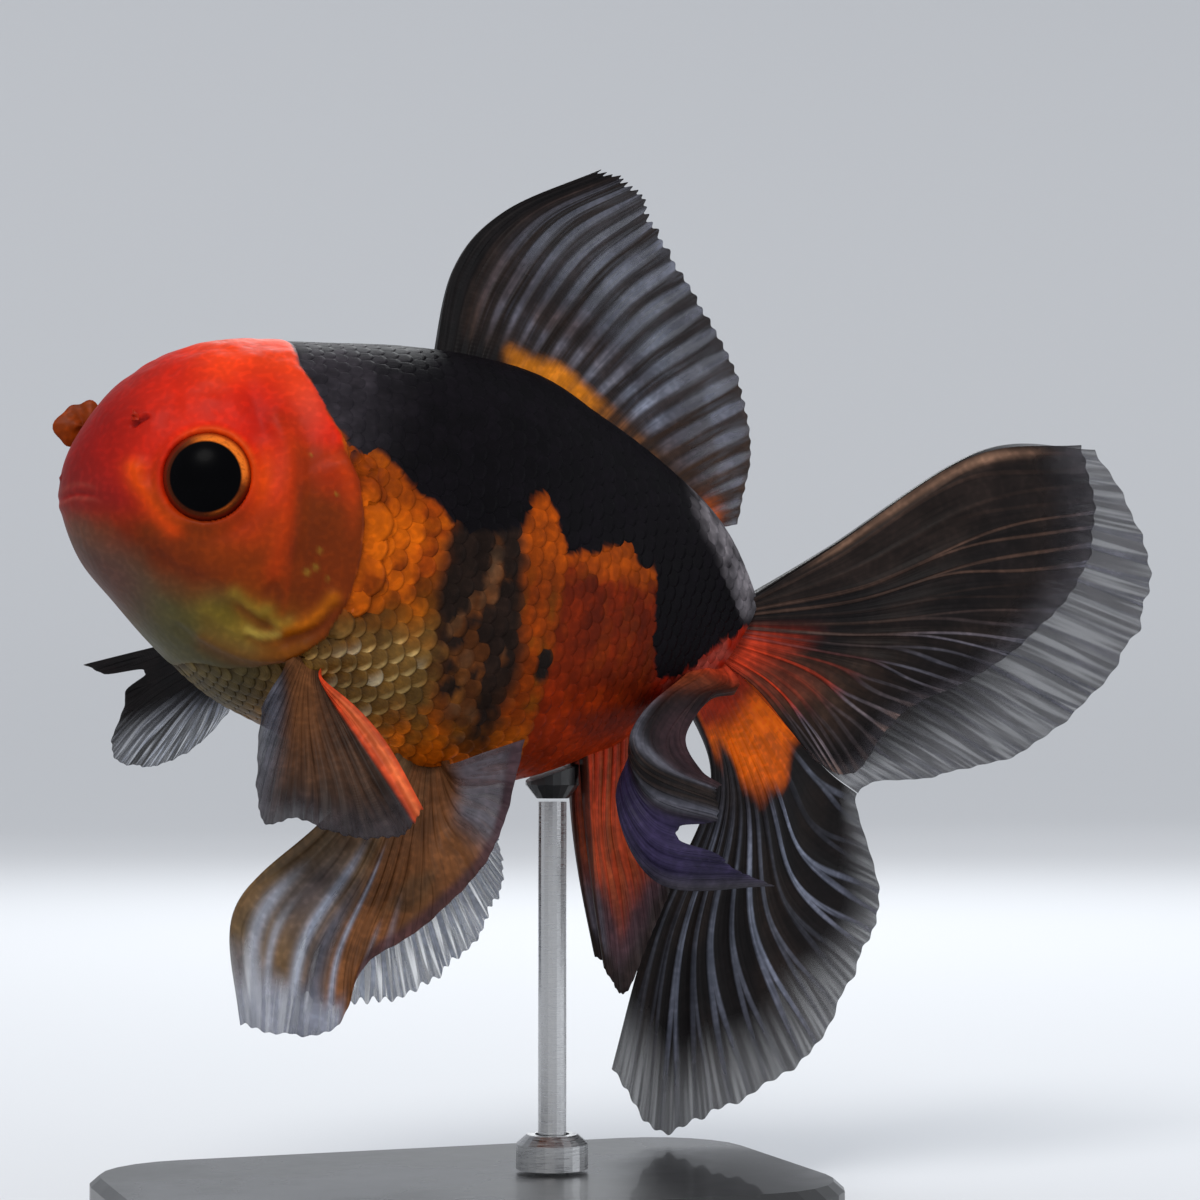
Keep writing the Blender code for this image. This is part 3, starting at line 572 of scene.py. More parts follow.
# colours of skin and scales
tone = {
    "cap": (0.82, 0.052, 0.006), "pinkHighlight": (0.8, 0.24, 0.16), "red": (0.62, 0.016, 0.002),
    "scarlet": (0.47, 0.006, 0.001), "garnet": (0.225, 0.005, 0.004), "wine": (0.14, 0.013, 0.011),
    "mauve": (0.088, 0.04, 0.03), "coral": (0.6, 0.05, 0.001), "ember": (0.33, 0.024, 0.001),
    "orange": (0.33, 0.054, 0.001), "amber": (0.52, 0.1, 0.001), "rust": (0.185, 0.026, 0.001),
    "sienna": (0.115, 0.017, 0.003), "bark": (0.14, 0.02, 0.001), "bronze": (0.15, 0.046, 0.002),
    "brick": (0.118, 0.01, 0.001), "olive": (0.064, 0.058, 0.026), "moss": (0.115, 0.08, 0.006),
    "straw": (0.25, 0.165, 0.018), "cream": (0.46, 0.34, 0.06), "gilt": (0.42, 0.105, 0.001),
    "gold": (0.135, 0.07, 0.014), "umber": (0.066, 0.024, 0.007), "clay": (0.135, 0.072, 0.036),
    "soot": (0.009, 0.006, 0.005), "char": (0.034, 0.03, 0.037), "black": (0.0026, 0.0019, 0.0032),
    "madder": (0.23, 0.045, 0.032), "ash": (0.17, 0.16, 0.175),
}

marks = {
    "saddle": (
        (15.6, 19), (16.4, 15), (17.5, 12.9), (18.9, 10.3), (20.2, 9), (21.4, 7.2), (22.9, 7.8), (24.8, 6.7),
        (26, 5.3), (28, 4.5), (29.8, 3.4), (30.8, 2), (33.6, 2.6), (36.2, 3.6), (37, 5.6), (38, 6.4),
        (39.3, 5), (40.6, 1.8), (42.9, 2.6), (44.7, 3.6), (47.2, 4), (48.4, 2.4), (50.3, 3), (51, -1.6),
        (51.3, -4.4), (52.8, -6.9), (55, -6.2), (57.4, -4.4), (59.4, -2.2), (62.5, -0.4),
    ),
    "mottle": (
        (30, 4.5), (29.7, -1), (29.6, -4.5), (30.2, -8), (31.2, -12), (33.5, -15.5), (37, -15),
        (37.6, -11), (37.6, -6.6), (37.2, -2.5), (36.4, 1), (36.6, 5),
    ),
    "spot": ((40, -7.6), (0.75, 1.45)),
}


class painting:
    # a colour at each place, which others are laid over
    def __init__(self, table, ground, shape):
        self.table = table
        self.colour = np.tile(np.array(table[ground]), shape + (1,))

    def paint(self, name, mask):
        mask = np.clip(mask, 0, 1)[..., None]
        self.colour = self.colour * (1 - mask) + np.array(self.table[name]) * mask


def bodyMarks(p, jitter=0):
    # colour, shine and scale relief at places on the body, shared by the skin and the scales
    p = np.asarray(p, float)
    x, y, z = p[..., 0], p[..., 1], p[..., 2]
    right = y > 0
    # the right side has the same plan, moved a little away from the midline and less broken
    ownX, apart = x, soft(0, 6, y)
    x = x - apart * (1.2 + 0.9 * np.sin(z * 0.45))
    z = z + apart * 0.9 * np.sin(x * 0.31)
    big, small = cloud(p, 5, 3.1), cloud(p, 1.5, 7.7)
    drawn = cloud(p * (1, 1, 0.36), 1.3, 2.2)
    flesh = painting(tone, "orange", x.shape)
    paint = flesh.paint
    # orange shoulder, lit in the middle and smoked between the flakes
    edge = z + 1.1 * small + jitter
    front = 1 - soft(29.5, 32.5, x + 0.8 * small)
    paint("amber", 0.85 * hump(x, z, (24, 1.4), (2.4, 2.6)) + 0.75 * hump(x, z, (24.4, -3.4), (2.2, 2.8)))
    paint("amber", 0.7 * soft(0.05, 0.5, small + 0.5 * big) * front)
    paint("rust", 0.75 * soft(0, -0.4, small + 0.4 * drawn) * front)
    # gold belly side
    lower = soft(-4.6, -8.8, edge - 0.1 * (x - 25))
    goldMask = lower * front
    paint("bronze", 0.85 * front * soft(-3.2, -6.8, edge - 0.55 * (x - 25)))
    paint("gold", goldMask)
    # shine: how metallic the skin and scales are, and how strong the scales' painted highlights are, most in
    # a pale patch low on the gold side
    pale = np.clip(hump(x, z, (24.2, -10.6), (4.6, 4.4)) + 0.45 * hump(x, z, (27.8, -8), (2.6, 5)), 0, 1)
    shine = goldMask * (0.35 + 0.65 * pale) + 0.22 * front * (1 - goldMask) * soft(4, -2, z)
    # flame, the column under it and the brick flank
    rear = soft(36.4, 37.6, x + 0.3 * small)
    paint("rust", rear * soft(1.5, -1.5, edge) * 0.8)
    paint("bronze", rear * soft(42, 40.5, x) * soft(0, 0.5, drawn) * soft(2, -3, z) * 0.7)
    brick = soft(40.3, 41.1, x + 0.25 * small)
    paint("rust", 0.75 * brick * soft(3.2, 1, edge))
    paint("brick", brick * soft(1.2, 0.2, edge) * 0.95)
    paint("rust", 0.35 * brick * soft(0.1, 0.5, drawn))
    underSide = soft(-11.5, -15.5, z + 0.8 * small) * (1 - brick)
    paint("bronze", underSide * 0.8 * (1 - 0.6 * goldMask))
    paint("amber", underSide * 0.7 * soft(-0.35, 0.2, small + 0.4 * drawn) * soft(26, 30, x))
    paint("umber", underSide * soft(0.15, 0.5, big - 0.3 * small) * 0.4)
    paint("amber", 0.75 * hump(x, z, (33, -18), (6, 2.6)))
    # painted light: the low part of the brick flank painted brighter, making up for the light it lacks from
    # below
    paint("ember", 0.6 * brick * soft(-7, -12, z))
    paint("olive", 0.75 * soft(20.5, 15.5, x) * soft(-9.5, -11.5, z))
    shine = (shine + 0.25 * underSide * (1 - goldMask)) * (1 - 0.5 * soft(19, 15, x))

    # dark smeared patch between the gold and the flame
    mottle = insideOutline(x + 0.9 * big + 0.5 * small, z, marks["mottle"])
    patch = soft(0.7, -0.9, mottle)
    paint("umber", patch * 0.92)
    paint("clay", patch * soft(0.15, 0.5, drawn) * 0.35)
    paint("bronze", patch * soft(-7, -13, z) * soft(-0.1, 0.35, small + 0.5 * drawn) * 0.7)
    dark = 0.1 + 0.7 * big - 0.5 * drawn + 0.5 * small + jitter * 0.25 + 0.03 * (z + 3)
    dark = dark + 0.55 * hump(x, z, (36.3, -3.6), (1.5, 5.6)) + 0.42 * hump(x, z, (31.4, -3.4), (1.9, 6.5))
    dark = dark - 0.5 * hump(x, z, (34, -0.6), (0.9, 2.6))
    paint("soot", patch * soft(-0.3, -0.02, dark) * 0.95)
    paint("clay", patch * hump(x, z, (34, -0.6), (0.45, 1.8)) * 0.5)
    shine *= 1 - 0.85 * patch
    spot, radii = marks["spot"]
    paint("soot", soft(1.15, 0.75, np.hypot((x - spot[0]) / radii[0], (z - spot[1]) / radii[1])) * ~right)

    # saddle and tail stalk
    line = np.array(marks["saddle"])
    over = z - np.interp(x, line[:, 0], line[:, 1]) + 0.55 * small + 0.8 * jitter
    saddle = soft(-0.18, 0.18, over) * soft(15, 16.2, ownX + 0.04 * z)
    paint("black", saddle)
    shine *= 1 - saddle
    paint("char", saddle * soft(28, 18, x + 0.2 * (14 - z)) * (0.75 + 0.35 * small + 0.3 * big))
    root = saddle * soft(53.5, 57, x) * soft(3.3, 0.5, backLine(x) - z)
    paint("ash", root * (0.75 + 0.6 * small + 0.5 * drawn))
    stalkRed = soft(51.5, 54, x) * (1 - saddle)
    paint("scarlet", stalkRed * 0.35)
    paint("madder", stalkRed * soft(-0.5, 0.3, small) * 0.8)
    # how strongly the scales stand out
    relief = 0.46 + 0.44 * goldMask
    relief = relief * (1 - 0.8 * brick * (1 - saddle)) * (1 - 0.6 * saddle) * (1 - 0.3 * patch)
    return flesh.colour, np.clip(shine, 0, 1), np.clip(relief, 0.12, 1)


def headMarks(p, colour, shine):
    # the head's own colours, laid over those of the body
    x, y, z = p[..., 0], p[..., 1], p[..., 2]
    big, small = cloud(p, 4, 1.3), cloud(p, 1.2, 5.5)
    head = soft(0.12, -0.12, insideOutline(x + 0.15 * small, z, headOutline))
    face = painting(tone, "red", x.shape)
    paint = face.paint

    def dab(name, strength, centre, radii):
        paint(name, strength * hump(x, z, centre, radii))

    def stroke(name, line, width, strength, shift=(0, 0), fade=None):
        paint(name, strength * brush(p, line, width, shift, fade))

    below = backLine(x) - z
    paint("cap", 0.9 * soft(6.4, 1.6, below + 0.8 * big) * soft(6.5, 11, x))
    dab("cap", 0.7, (16.2, 12.2), (2, 3.2))
    # painted highlights: a pink sheen along the top edge of the head, at the back of the cap and on the
    # cheek ridge
    paint("pinkHighlight", 0.28 * soft(1.1, 0.1, below) * soft(7, 11, x))
    paint("pinkHighlight", 0.16 * hump(x, z, (17.2, 10.4), (1.4, 2.4)) + 0.14 * hump(x, z, (15.2, 5.2), (0.9, 3)))
    dab("scarlet", 0.95, (14.4, 8.2), (3.2, 3.4))
    # painted shade: the face darker toward the snout, which faces away from the light from above and behind
    paint("garnet", soft(8.2, 0.6, x + 0.15 * (10 - z)) * soft(-0.4, 1.8, z + 0.4 * x))
    dab("garnet", 0.85, (3, 0.6), (2.6, 2))
    dab("wine", 0.9, (-0.2, 0.2), (3.4, 3.2))
    # cheek and lower face
    paint("rust", soft(2.6, -1, z + 0.5 * big - 0.16 * (x - 9)) * soft(3.2, 6, x))
    paint("sienna", 0.85 * hump(x, z, (6.4, -2.9), (2.8, 1.9)) + 0.6 * hump(x, z, (10.6, -4.6), (2.6, 1.3)))
    dab("sienna", 0.9, (3, -1.8), (2.8, 1.8))
    # painted highlight on the lit cheek just behind the eye
    dab("coral", 0.9, (14.1, 3.6), (1.2, 3.2))
    dab("ember", 0.8, (13, 0), (2.6, 1.7))
    # gill cover
    gillPlate = soft(16.3, 17.3, x + 0.1 * z) * soft(-10.5, -7.5, z)
    paint("ember", gillPlate * soft(8.6, 6.6, z) * 0.9)
    paint("bark", gillPlate * soft(5.6, 2.2, z + 0.6 * big))
    # painted highlight along the crest of the cheek ridge, and painted shadow in the groove behind it
    dab("coral", 0.55, (16, 3), (0.7, 5))
    stroke("ember", "cheekRidge", 0.9, 0.5)
    stroke("bark", "cheekRidge", 0.9, 0.35, (1.5, 0))
    stroke("coral", "gillBand", 0.75, 0.4, fade=(0.2, 0.75))
    stroke("bark", "gillEdge", 0.55, 0.65)
    # painted shadow in the crease behind the eye
    stroke("garnet", "cheekCrease", 0.8, 0.25)
    # chin and throat
    middle = np.interp(x, (0, 3, 6.5, 10, 13.5, 17, 20), (-1.2, -2.4, -4.6, -5.9, -6.6, -10, -12))
    throat = soft(1.9, -1.7, z - middle + 0.6 * big)
    paint("olive", throat)
    paint("mauve", throat * soft(9.5, 4.5, x))
    dab("moss", 0.85, (13.2, -7.4), (3.4, 1.7))
    dab("straw", 0.55, (15.4, -8.7), (2.4, 1.3))
    dab("bronze", 0.75, (18, -8.6), (3, 2.4))
    for line, width, _, name, strength in throatFolds:
        stroke(name, line, width, strength)
        # painted shadow a little below and behind each fold
        stroke("bark", line, width * 0.8, 0.45 * strength, (0.2, -0.6 - width * 0.3))
    for line in throatShade:
        stroke("sienna", line, 0.42, 0.5)
    for a, b, size in gillSpecks:
        paint("straw", 0.6 * np.exp(-(((x - a) ** 2 + (z - b) ** 2) / size**2)))
    stroke("coral", "underEye", 0.85, 1)
    stroke("sienna", "eyeFold", 0.5, 0.4)
    # lips and nostril: painted shade in the mouth slit and the nostril slit, and thin pink painted
    # highlights along the lips
    stroke("garnet", "mouth", 0.22, 0.75, fade=(0.5, 1))
    stroke("pinkHighlight", "mouth", 0.2, 0.07, (0, -0.28), (0.6, 1))
    stroke("pinkHighlight", "upperLip", 0.2, 0.05, (0, 0.1), (0.6, 1))
    stroke("garnet", "nostrilSlit", 0.2, 0.95)
    # round the eye: a painted shadow on the lower front of the rim, a painted highlight on its upper back,
    # and darker skin where it dips under the eyeball's edge, painted lighter on the upper back where the
    # light falls
    for side in (-1, 1):
        level, across, up = fromEye(p, side)
        r, turn = np.hypot(across, up), np.arctan2(up, across)
        here = (np.sign(y) == side) & (level > -5)
        paint("rust", 0.6 * np.exp(-(((r - 4.4) / 0.55) ** 2)) * here * soft(-0.2, 0.9, -np.cos(turn - 1)))
        paint("coral", np.exp(-(((r - 3.95) / 0.32) ** 2)) * here * soft(0, 0.9, np.cos(turn - 1.1)))
        paint("garnet", soft(3.75, 3.45, r) * here)
        paint("ember", soft(3.75, 3.45, r) * here * soft(0, 0.9, np.cos(turn - 1)))
    return colour * (1 - head[..., None]) + face.colour * head[..., None], shine * (1 - head)


def makeSkinMaterial():
    made, tree, shader = newMaterial("skin")
    texture = {"Clouding": 0.16, "Grain": 0.22, "Pores": 0.35, "Roughness": 0.5}
    height = addLiving(tree, shader, {"Colour": addAttribute(tree, "tint", True), **texture})
    setShader(shader, {
        "Normal": addBump(height, 0.00012, 0.7), "Metallic": addAttribute(tree, "shine") * 0.7,
        "Coat Weight": 0.03, "Coat Roughness": 0.35, "Specular IOR Level": 0.07,
    })
    return made


def makeSkin():
    rings, front, around = (bodyShape[word] for word in ("rings", "headRings", "around"))
    first, neck, last = (bodyShape[word] for word in ("snout", "neck", "end"))
    x = first + (neck - first) * (np.arange(1, front + 1) / front) ** 1.5
    x = np.concatenate([x, np.linspace(neck, last, rings - front + 1)[1:]])
    gx, ga = np.meshgrid(x, 2 * math.pi * np.arange(around) / around, indexing="ij")
    plain = bodyPoint(gx, ga)
    away = insideOutline(plain[..., 0], plain[..., 2], headOutline)
    head = soft(0.4, -0.4, away)
    inset = bodyShape["headInset"] * head + bodyShape["trunkInset"] * (1 - head)
    lumps = bodyShape["lumps"] * cloud(plain, 2.6, 9.1) * head
    lumps = lumps * soft(5, 9, plain[..., 2]) * soft(1, 4, plain[..., 0])
    move = headRelief(plain) * soft(24.5, 23, plain[..., 0]) + bodyRelief(plain) + lumps - inset
    points = plain + bodyNormal(gx, ga) * move[..., None]
    colour, shine = headMarks(plain, *bodyMarks(plain)[:2])
    flat = np.concatenate([points.reshape(-1, 3), [bodyShape["nose"]], [bodyShape["tailRoot"]]])
    tints = np.concatenate([colour.reshape(-1, 3), colour[0, :1], colour[-1, :1]])
    bare = soft(0.12, -0.18, away)  # scales sink where this is one
    floats = {"shine": [*shine.ravel(), 0, 0], "bare": [*bare.ravel(), 1, 0]}
    faces = closedFaces(flat, rings, around)
    made = addPiece("fish_skin", flat, faces, makeSkinMaterial(), floats, {"tint": tints})
    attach(made, "root")
    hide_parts("head", "lower_jaw", "gill_cover_left", "gill_cover_right", "trunk", "tail_stalk")
    return made


fishSkin = makeSkin()
print("skin made:", len(fishSkin.data.polygons), "faces")


# the coat of scales
coat = {
    "start": 10.6, "end": 60.6, "rowPitch": 1.72, "columnPitch": 1.22, "clearOfHead": 0.15,
    "length": 2.55, "width": 2.3, "lift": 0.21, "thickness": 0.06, "sink": 0.35, "steps": 6,
    "wobble": (0.95, 1.06), "seed": 4,
    "follow": 0.72,  # share of a scale's colour that comes from its own place, the rest from its root
    # the flattened skin on the UV map: half its girth, its start and length, and the side of one patch
    "mapSide": 29, "mapStart": 9.5, "mapLength": 52, "patch": 0.003,
    # places along the body and how large a scale is there
    "sizes": ((11, 16, 26, 44, 60), (0.62, 0.74, 1, 0.94, 0.66)),
    # larger flakes behind the gill cover: place along, height, size
    "flakes": (
        (23.3, 1.7, 1.75), (23.5, -0.3, 1.45), (23.3, -2.7, 1.75),
        (22.8, -4.8, 1.5), (22, -6.9, 1.3), (22.4, 4.2, 1.35),
    ),
}


def makeScaleShape():
    # one scale, flat in its own plane; how high each point stands is kept beside it
    n = coat["steps"]
    u, v = np.meshgrid(np.linspace(-1, 1, n + 1), np.linspace(-1, 1, n + 1), indexing="ij")
    x, y = u * np.sqrt(1 - v**2 / 2), v * np.sqrt(1 - u**2 / 2)
    lift = coat["lift"] * (0.15 + 0.85 * soft(-1, 0.9, x)) + 0.05 * (1 - y**2)
    lift = lift - 0.05 * soft(0.75, 1, np.hypot(x, y))
    top = np.stack([x.ravel(), y.ravel(), lift.ravel()], 1)
    rim = [i * (n + 1) for i in range(n)] + [n * (n + 1) + j for j in range(n)]
    rim += [i * (n + 1) + n for i in range(n, 0, -1)] + list(range(n, 0, -1))
    points = np.vstack([top, top[rim] - np.array([0, 0, coat["thickness"]])])
    faces = [tuple(f) for f in gridFaces(n + 1, n + 1)[:, ::-1]]
    first, count = len(top), len(rim)
    for k in range(count):
        following = (k + 1) % count
        faces.append((rim[following], rim[k], first + k, first + following))
    faces.append(tuple(first + k for k in reversed(range(count))))
    mesh = bpy.data.meshes.new("scaleShape")
    flat = points * (coat["length"] / 2, coat["width"] / 2, 0) - (0.35, 0, 0)
    mesh.from_pydata((flat * mm).tolist(), [], faces)
    along, across, height = points.T
    setPointData(mesh, "FLOAT", {"lift": height * mm, "scaleAlong": along, "scaleAcross": across})
    return addObject("scaleShape", mesh)


def flankLine(x, side, half):
    # a line round one flank, with its angles and the length along it
    angle = half if side > 0 else math.pi - half
    line = bodyPoint(np.full(len(half), x), angle)
    arc = np.concatenate([[0], np.cumsum(np.linalg.norm(np.diff(line, axis=0), axis=1))])
    return angle, line, arc


def scaleRoots(side):
    # rows stay level with the flank and drop out at the back and belly, columns step by half a row
    roots = []
    x, column = coat["start"], 0
    quarter, half = np.linspace(0, math.pi / 2, 160), np.linspace(-math.pi / 2, math.pi / 2, 300)
    while x < coat["end"]:
        size = float(np.interp(x, *coat["sizes"]))
        for way in (1, -1):
            angle, _, arc = flankLine(x, side, quarter * way)
            row = 0.5 * (column % 2)
            while row * coat["rowPitch"] * size < arc[-1] + 0.2:
                if way > 0 or row > 0:
                    here = min(row * coat["rowPitch"] * size, arc[-1] - 0.01)
                    roots.append((x, float(np.interp(here, arc, angle)), size, here * way))
                row += 1
        x += coat["columnPitch"] * size
        column += 1
    roots = np.array(roots)
    for x, z, size in coat["flakes"]:
        angle, line, arc = flankLine(x, side, half)
        own = float(np.interp(z, line[:, 2], angle))
        arc = float(np.interp(z, line[:, 2], arc) - np.interp(0, half, arc))
        under = (np.abs(roots[:, 0] - x + 0.3) < 0.75 * size) & (np.abs(roots[:, 3] - arc) < 0.6 * size)
        under &= roots[:, 2] < 1.1
        roots = np.vstack([roots[~under], [x, own, size, arc]])
    return roots


def makeCoatTree():
    # sets a scale on each root, lays it down along the skin and lifts it by its own height
    tree = bpy.data.node_groups.new("layScales", "GeometryNodeTree")
    inputs = {"Geometry": "Geometry", "Skin": "Object", "Scale": "Object", "Size": "Float", "Seed": "Int"}
    for label, kind in {**inputs, "Material": "Material"}.items():
        tree.interface.new_socket(label, in_out="INPUT", socket_type="NodeSocket" + kind)
    tree.interface.new_socket("Geometry", in_out="OUTPUT", socket_type="NodeSocketGeometry")
    given = {socket.name: wire(socket) for socket in tree.nodes.new("NodeGroupInput").outputs if socket.name}

    def add(kind, result, values, **settings):
        node = tree.nodes.new(kind)
        for label, value in settings.items():
            setattr(node, label, value)
        for label, value in values.items():
            feed(node.inputs[label], value)
        return wire(node.outputs[result])

    def named(label, kind="FLOAT"):
        return add("GeometryNodeInputNamedAttribute", "Attribute", {"Name": label}, data_type=kind)

    def onSkin(value, kind):
        values = {"Mesh": skin, "Value": value}
        return add("GeometryNodeSampleNearestSurface", "Value", values, data_type=kind)

    skin = add("GeometryNodeObjectInfo", "Geometry", {"Object": given["Skin"]})
    shape = add("GeometryNodeObjectInfo", "Geometry", {"Object": given["Scale"]})
    out, lie = named("out", "FLOAT_VECTOR"), named("lie", "FLOAT_VECTOR")
    upright = add("FunctionNodeAlignRotationToVector", 0, {"Vector": out}, axis="Z")
    laid = {"Rotation": upright, "Vector": lie}
    laid = add("FunctionNodeAlignRotationToVector", 0, laid, axis="X", pivot_axis="Z")
    chances = {2: coat["wobble"][0], 3: coat["wobble"][1], "Seed": given["Seed"]}
    wobble = add("FunctionNodeRandomValue", 1, chances, data_type="FLOAT")
    placing = {"Points": given["Geometry"], "Instance": shape, "Rotation": laid}
    placing["Scale"] = named("size") * given["Size"] * wobble
    real = add("GeometryNodeRealizeInstances", 0, {0: add("GeometryNodeInstanceOnPoints", 0, placing)})
    lift = named("lift") * (named("size") * named("relief"))
    sink = addMath("MULTIPLY_ADD", onSkin(named("bare"), "FLOAT"), -coat["sink"] * mm, lift)
    normal = onSkin(add("GeometryNodeInputNormal", 0, {}), "FLOAT_VECTOR")
    raised = add("ShaderNodeVectorMath", 0, {0: normal, "Scale": sink}, operation="SCALE")
    nearest = add("GeometryNodeProximity", "Position", {0: skin})
    total = add("ShaderNodeVectorMath", 0, {0: nearest, 1: raised}, operation="ADD")
    moved = add("GeometryNodeSetPosition", 0, {"Geometry": real, "Position": total})
    smooth = add("GeometryNodeSetShadeSmooth", 0, {"Geometry": moved})
    done = add("GeometryNodeSetMaterial", 0, {"Geometry": smooth, "Material": given["Material"]})
    feed(tree.nodes.new("NodeGroupOutput").inputs["Geometry"], done)
    return tree


def makeCoatMaterial():
    made, tree, shader = newMaterial("scales")
    along, across, down = (addAttribute(tree, "scale" + word) for word in ("Along", "Across", "Down"))
    chance, shine, bold = (addAttribute(tree, word) for word in ("chance", "shine", "relief"))
    radial = addMath("SQRT", addMath("POWER", along, 2) + addMath("POWER", across, 2))
    varied = tree.nodes.new("ShaderNodeHueSaturation")
    feed(varied.inputs["Value"], ramp(chance, 0, 1, 0.82, 1.18, smooth=False))
    feed(varied.inputs["Color"], addAttribute(tree, "tint", True))
    own = wire(varied.outputs[0])
    # painted shade at the hidden root, under the scale in front of it, and a thin darker line round the free
    # edge
    rootShade = ramp(along, 0.35, -0.5) * ramp(bold, 0.12, 0.9, 0.05, 0.85)
    shaded = mix(rootShade, own, tinted(own, (0.36, 0.31, 0.26)))
    rim = ramp(radial, 0.88, 0.99) * ramp(bold, 0.15, 0.9, 0, 0.45)
    edged = mix(rim, shaded, tinted(shaded, (0.34, 0.27, 0.2)))
    # painted highlights: a crescent of light painted inside the rear lower edge, and a few scales painted
    # bright all over as if they catch it whole
    toLower = along * 0.74 + down * 0.62
    crescent = ramp(toLower, 0.42, 0.86) * ramp(radial, 0.99, 0.9) * ramp(chance, 0.1, 0.75, 0.35, 1)
    lit = mix(ramp(shine, 0.45, 1, 0, 0.9), tinted(own, (2.4, 2.6, 3.2)), (0.6, 0.43, 0.17))
    bright = mix(addMath("MULTIPLY", crescent, ramp(shine, 0, 0.8), clamp=True), edged, lit)
    whole = ramp(chance, 0.84, 0.9) * ramp(toLower, -0.2, 0.8) * ramp(shine, 0.55, 0.95) * 0.5
    texture = {"Colour": mix(whole, bright, (0.62, 0.58, 0.42)), "Clouding": 0.45, "Pores": 0.25}
    height = addLiving(tree, shader, {**texture, "Roughness": ramp(shine, 0, 1, 0.58, 0.4)})
    rayed = addMath("SINE", addMath("ARCTAN2", across, along + 1.2) * 26)
    lines = addMath("SINE", radial * 30) * 0.14 + rayed * 0.12
    setShader(shader, {
        "Normal": addBump(height + lines * bold, 0.00006, 0.8), "Metallic": shine * 0.22,
        "Coat Weight": shine * 0.16, "Coat Roughness": 0.25, "Specular IOR Level": 0.055,
    })
    return made


def makeCoat(side, word, tree, shape, material):
    roots = scaleRoots(side)
    base = bodyPoint(roots[:, 0], roots[:, 1])
    keep = insideOutline(base[:, 0], base[:, 2], headOutline) > coat["clearOfHead"]
    base, (x, angle, size, arc) = base[keep], roots[keep].T
    ahead = bodyPoint(x + 0.4, angle) - bodyPoint(x - 0.4, angle)
    chance = np.random.default_rng(11 + side).random(len(base))
    mesh = bpy.data.meshes.new("roots")
    mesh.from_pydata(toRow(base).tolist(), [], [])

    def turned(v):
        return (toRow(v) - toRow(np.zeros(3))) / mm

    vectors = {"out": turned(bodyNormal(x, angle)), "lie": turned(ahead), "rootPlace": base}
    setPointData(mesh, "FLOAT_VECTOR", vectors)
    setPointData(mesh, "FLOAT", {
        "size": size, "chance": chance, "relief": np.where(size > 1.1, 1.15, bodyMarks(base)[2]),
        "rootU": 0.5 + 0.45 * arc / coat["mapSide"],
        "rootV": 0.04 + 0.92 * (x - coat["mapStart"]) / coat["mapLength"],
    })
    carrier = addObject("roots", mesh)
    step = carrier.modifiers.new("layScales", "NODES")
    step.node_group = tree
    settings = {"Skin": fishSkin, "Scale": shape, "Size": 1.0, "Seed": coat["seed"], "Material": material}
    for item in tree.interface.items_tree:
        if item.in_out == "INPUT" and item.name in settings:
            step[item.identifier] = settings[item.name]
    graph = bpy.context.evaluated_depsgraph_get()
    laid = carrier.evaluated_get(graph)
    plain = bpy.data.meshes.new_from_object(laid, preserve_all_data_layers=True, depsgraph=graph)
    bpy.data.objects.remove(carrier)
    plain.name = "scales_" + word
    paintCoat(plain, side)
    addRootMap(plain)
    made = addObject("scales_" + word, plain)
    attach(made, "root")
    return made


def readFloats(mesh, label):
    values = np.empty(len(mesh.vertices), np.float32)
    mesh.attributes[label].data.foreach_get("value", values)
    return values


def paintCoat(mesh, side):
    # the same markings as the skin, read partly at each point and partly at the scale's root
    here, root = (np.empty(3 * len(mesh.vertices), np.float32) for _ in range(2))
    mesh.vertices.foreach_get("co", here)
    mesh.attributes["rootPlace"].data.foreach_get("vector", root)
    place = coat["follow"] * fromRow(here.reshape(-1, 3)) + (1 - coat["follow"]) * root.reshape(-1, 3)
    colour, shine, _ = bodyMarks(place, (readFloats(mesh, "chance") - 0.5) * 0.8)
    setPointData(mesh, "FLOAT_COLOR", {"tint": colour})
    setPointData(mesh, "FLOAT", {"shine": shine, "scaleDown": readFloats(mesh, "scaleAcross") * side})


def addRootMap(mesh):
    # each scale is a small patch at its root's place on the flattened skin
    u = readFloats(mesh, "rootU") + coat["patch"] / 2 * readFloats(mesh, "scaleAcross")
    v = readFloats(mesh, "rootV") + coat["patch"] / 2 * readFloats(mesh, "scaleAlong")
    corners = np.empty(len(mesh.loops), np.int32)
    mesh.loops.foreach_get("vertex_index", corners)
    layer = mesh.uv_layers.new(name="OFBake")
    layer.uv.foreach_set("vector", np.stack([u[corners], v[corners]], 1).astype(np.float32).ravel())


coatTree, scaleShape, coatMaterial = makeCoatTree(), makeScaleShape(), makeCoatMaterial()
for side, word in ((-1, "left"), (1, "right")):
    coatPiece = makeCoat(side, word, coatTree, scaleShape, coatMaterial)
    print("scales laid on the", word, "side:", len(coatPiece.data.polygons), "faces")
bpy.data.objects.remove(scaleShape)


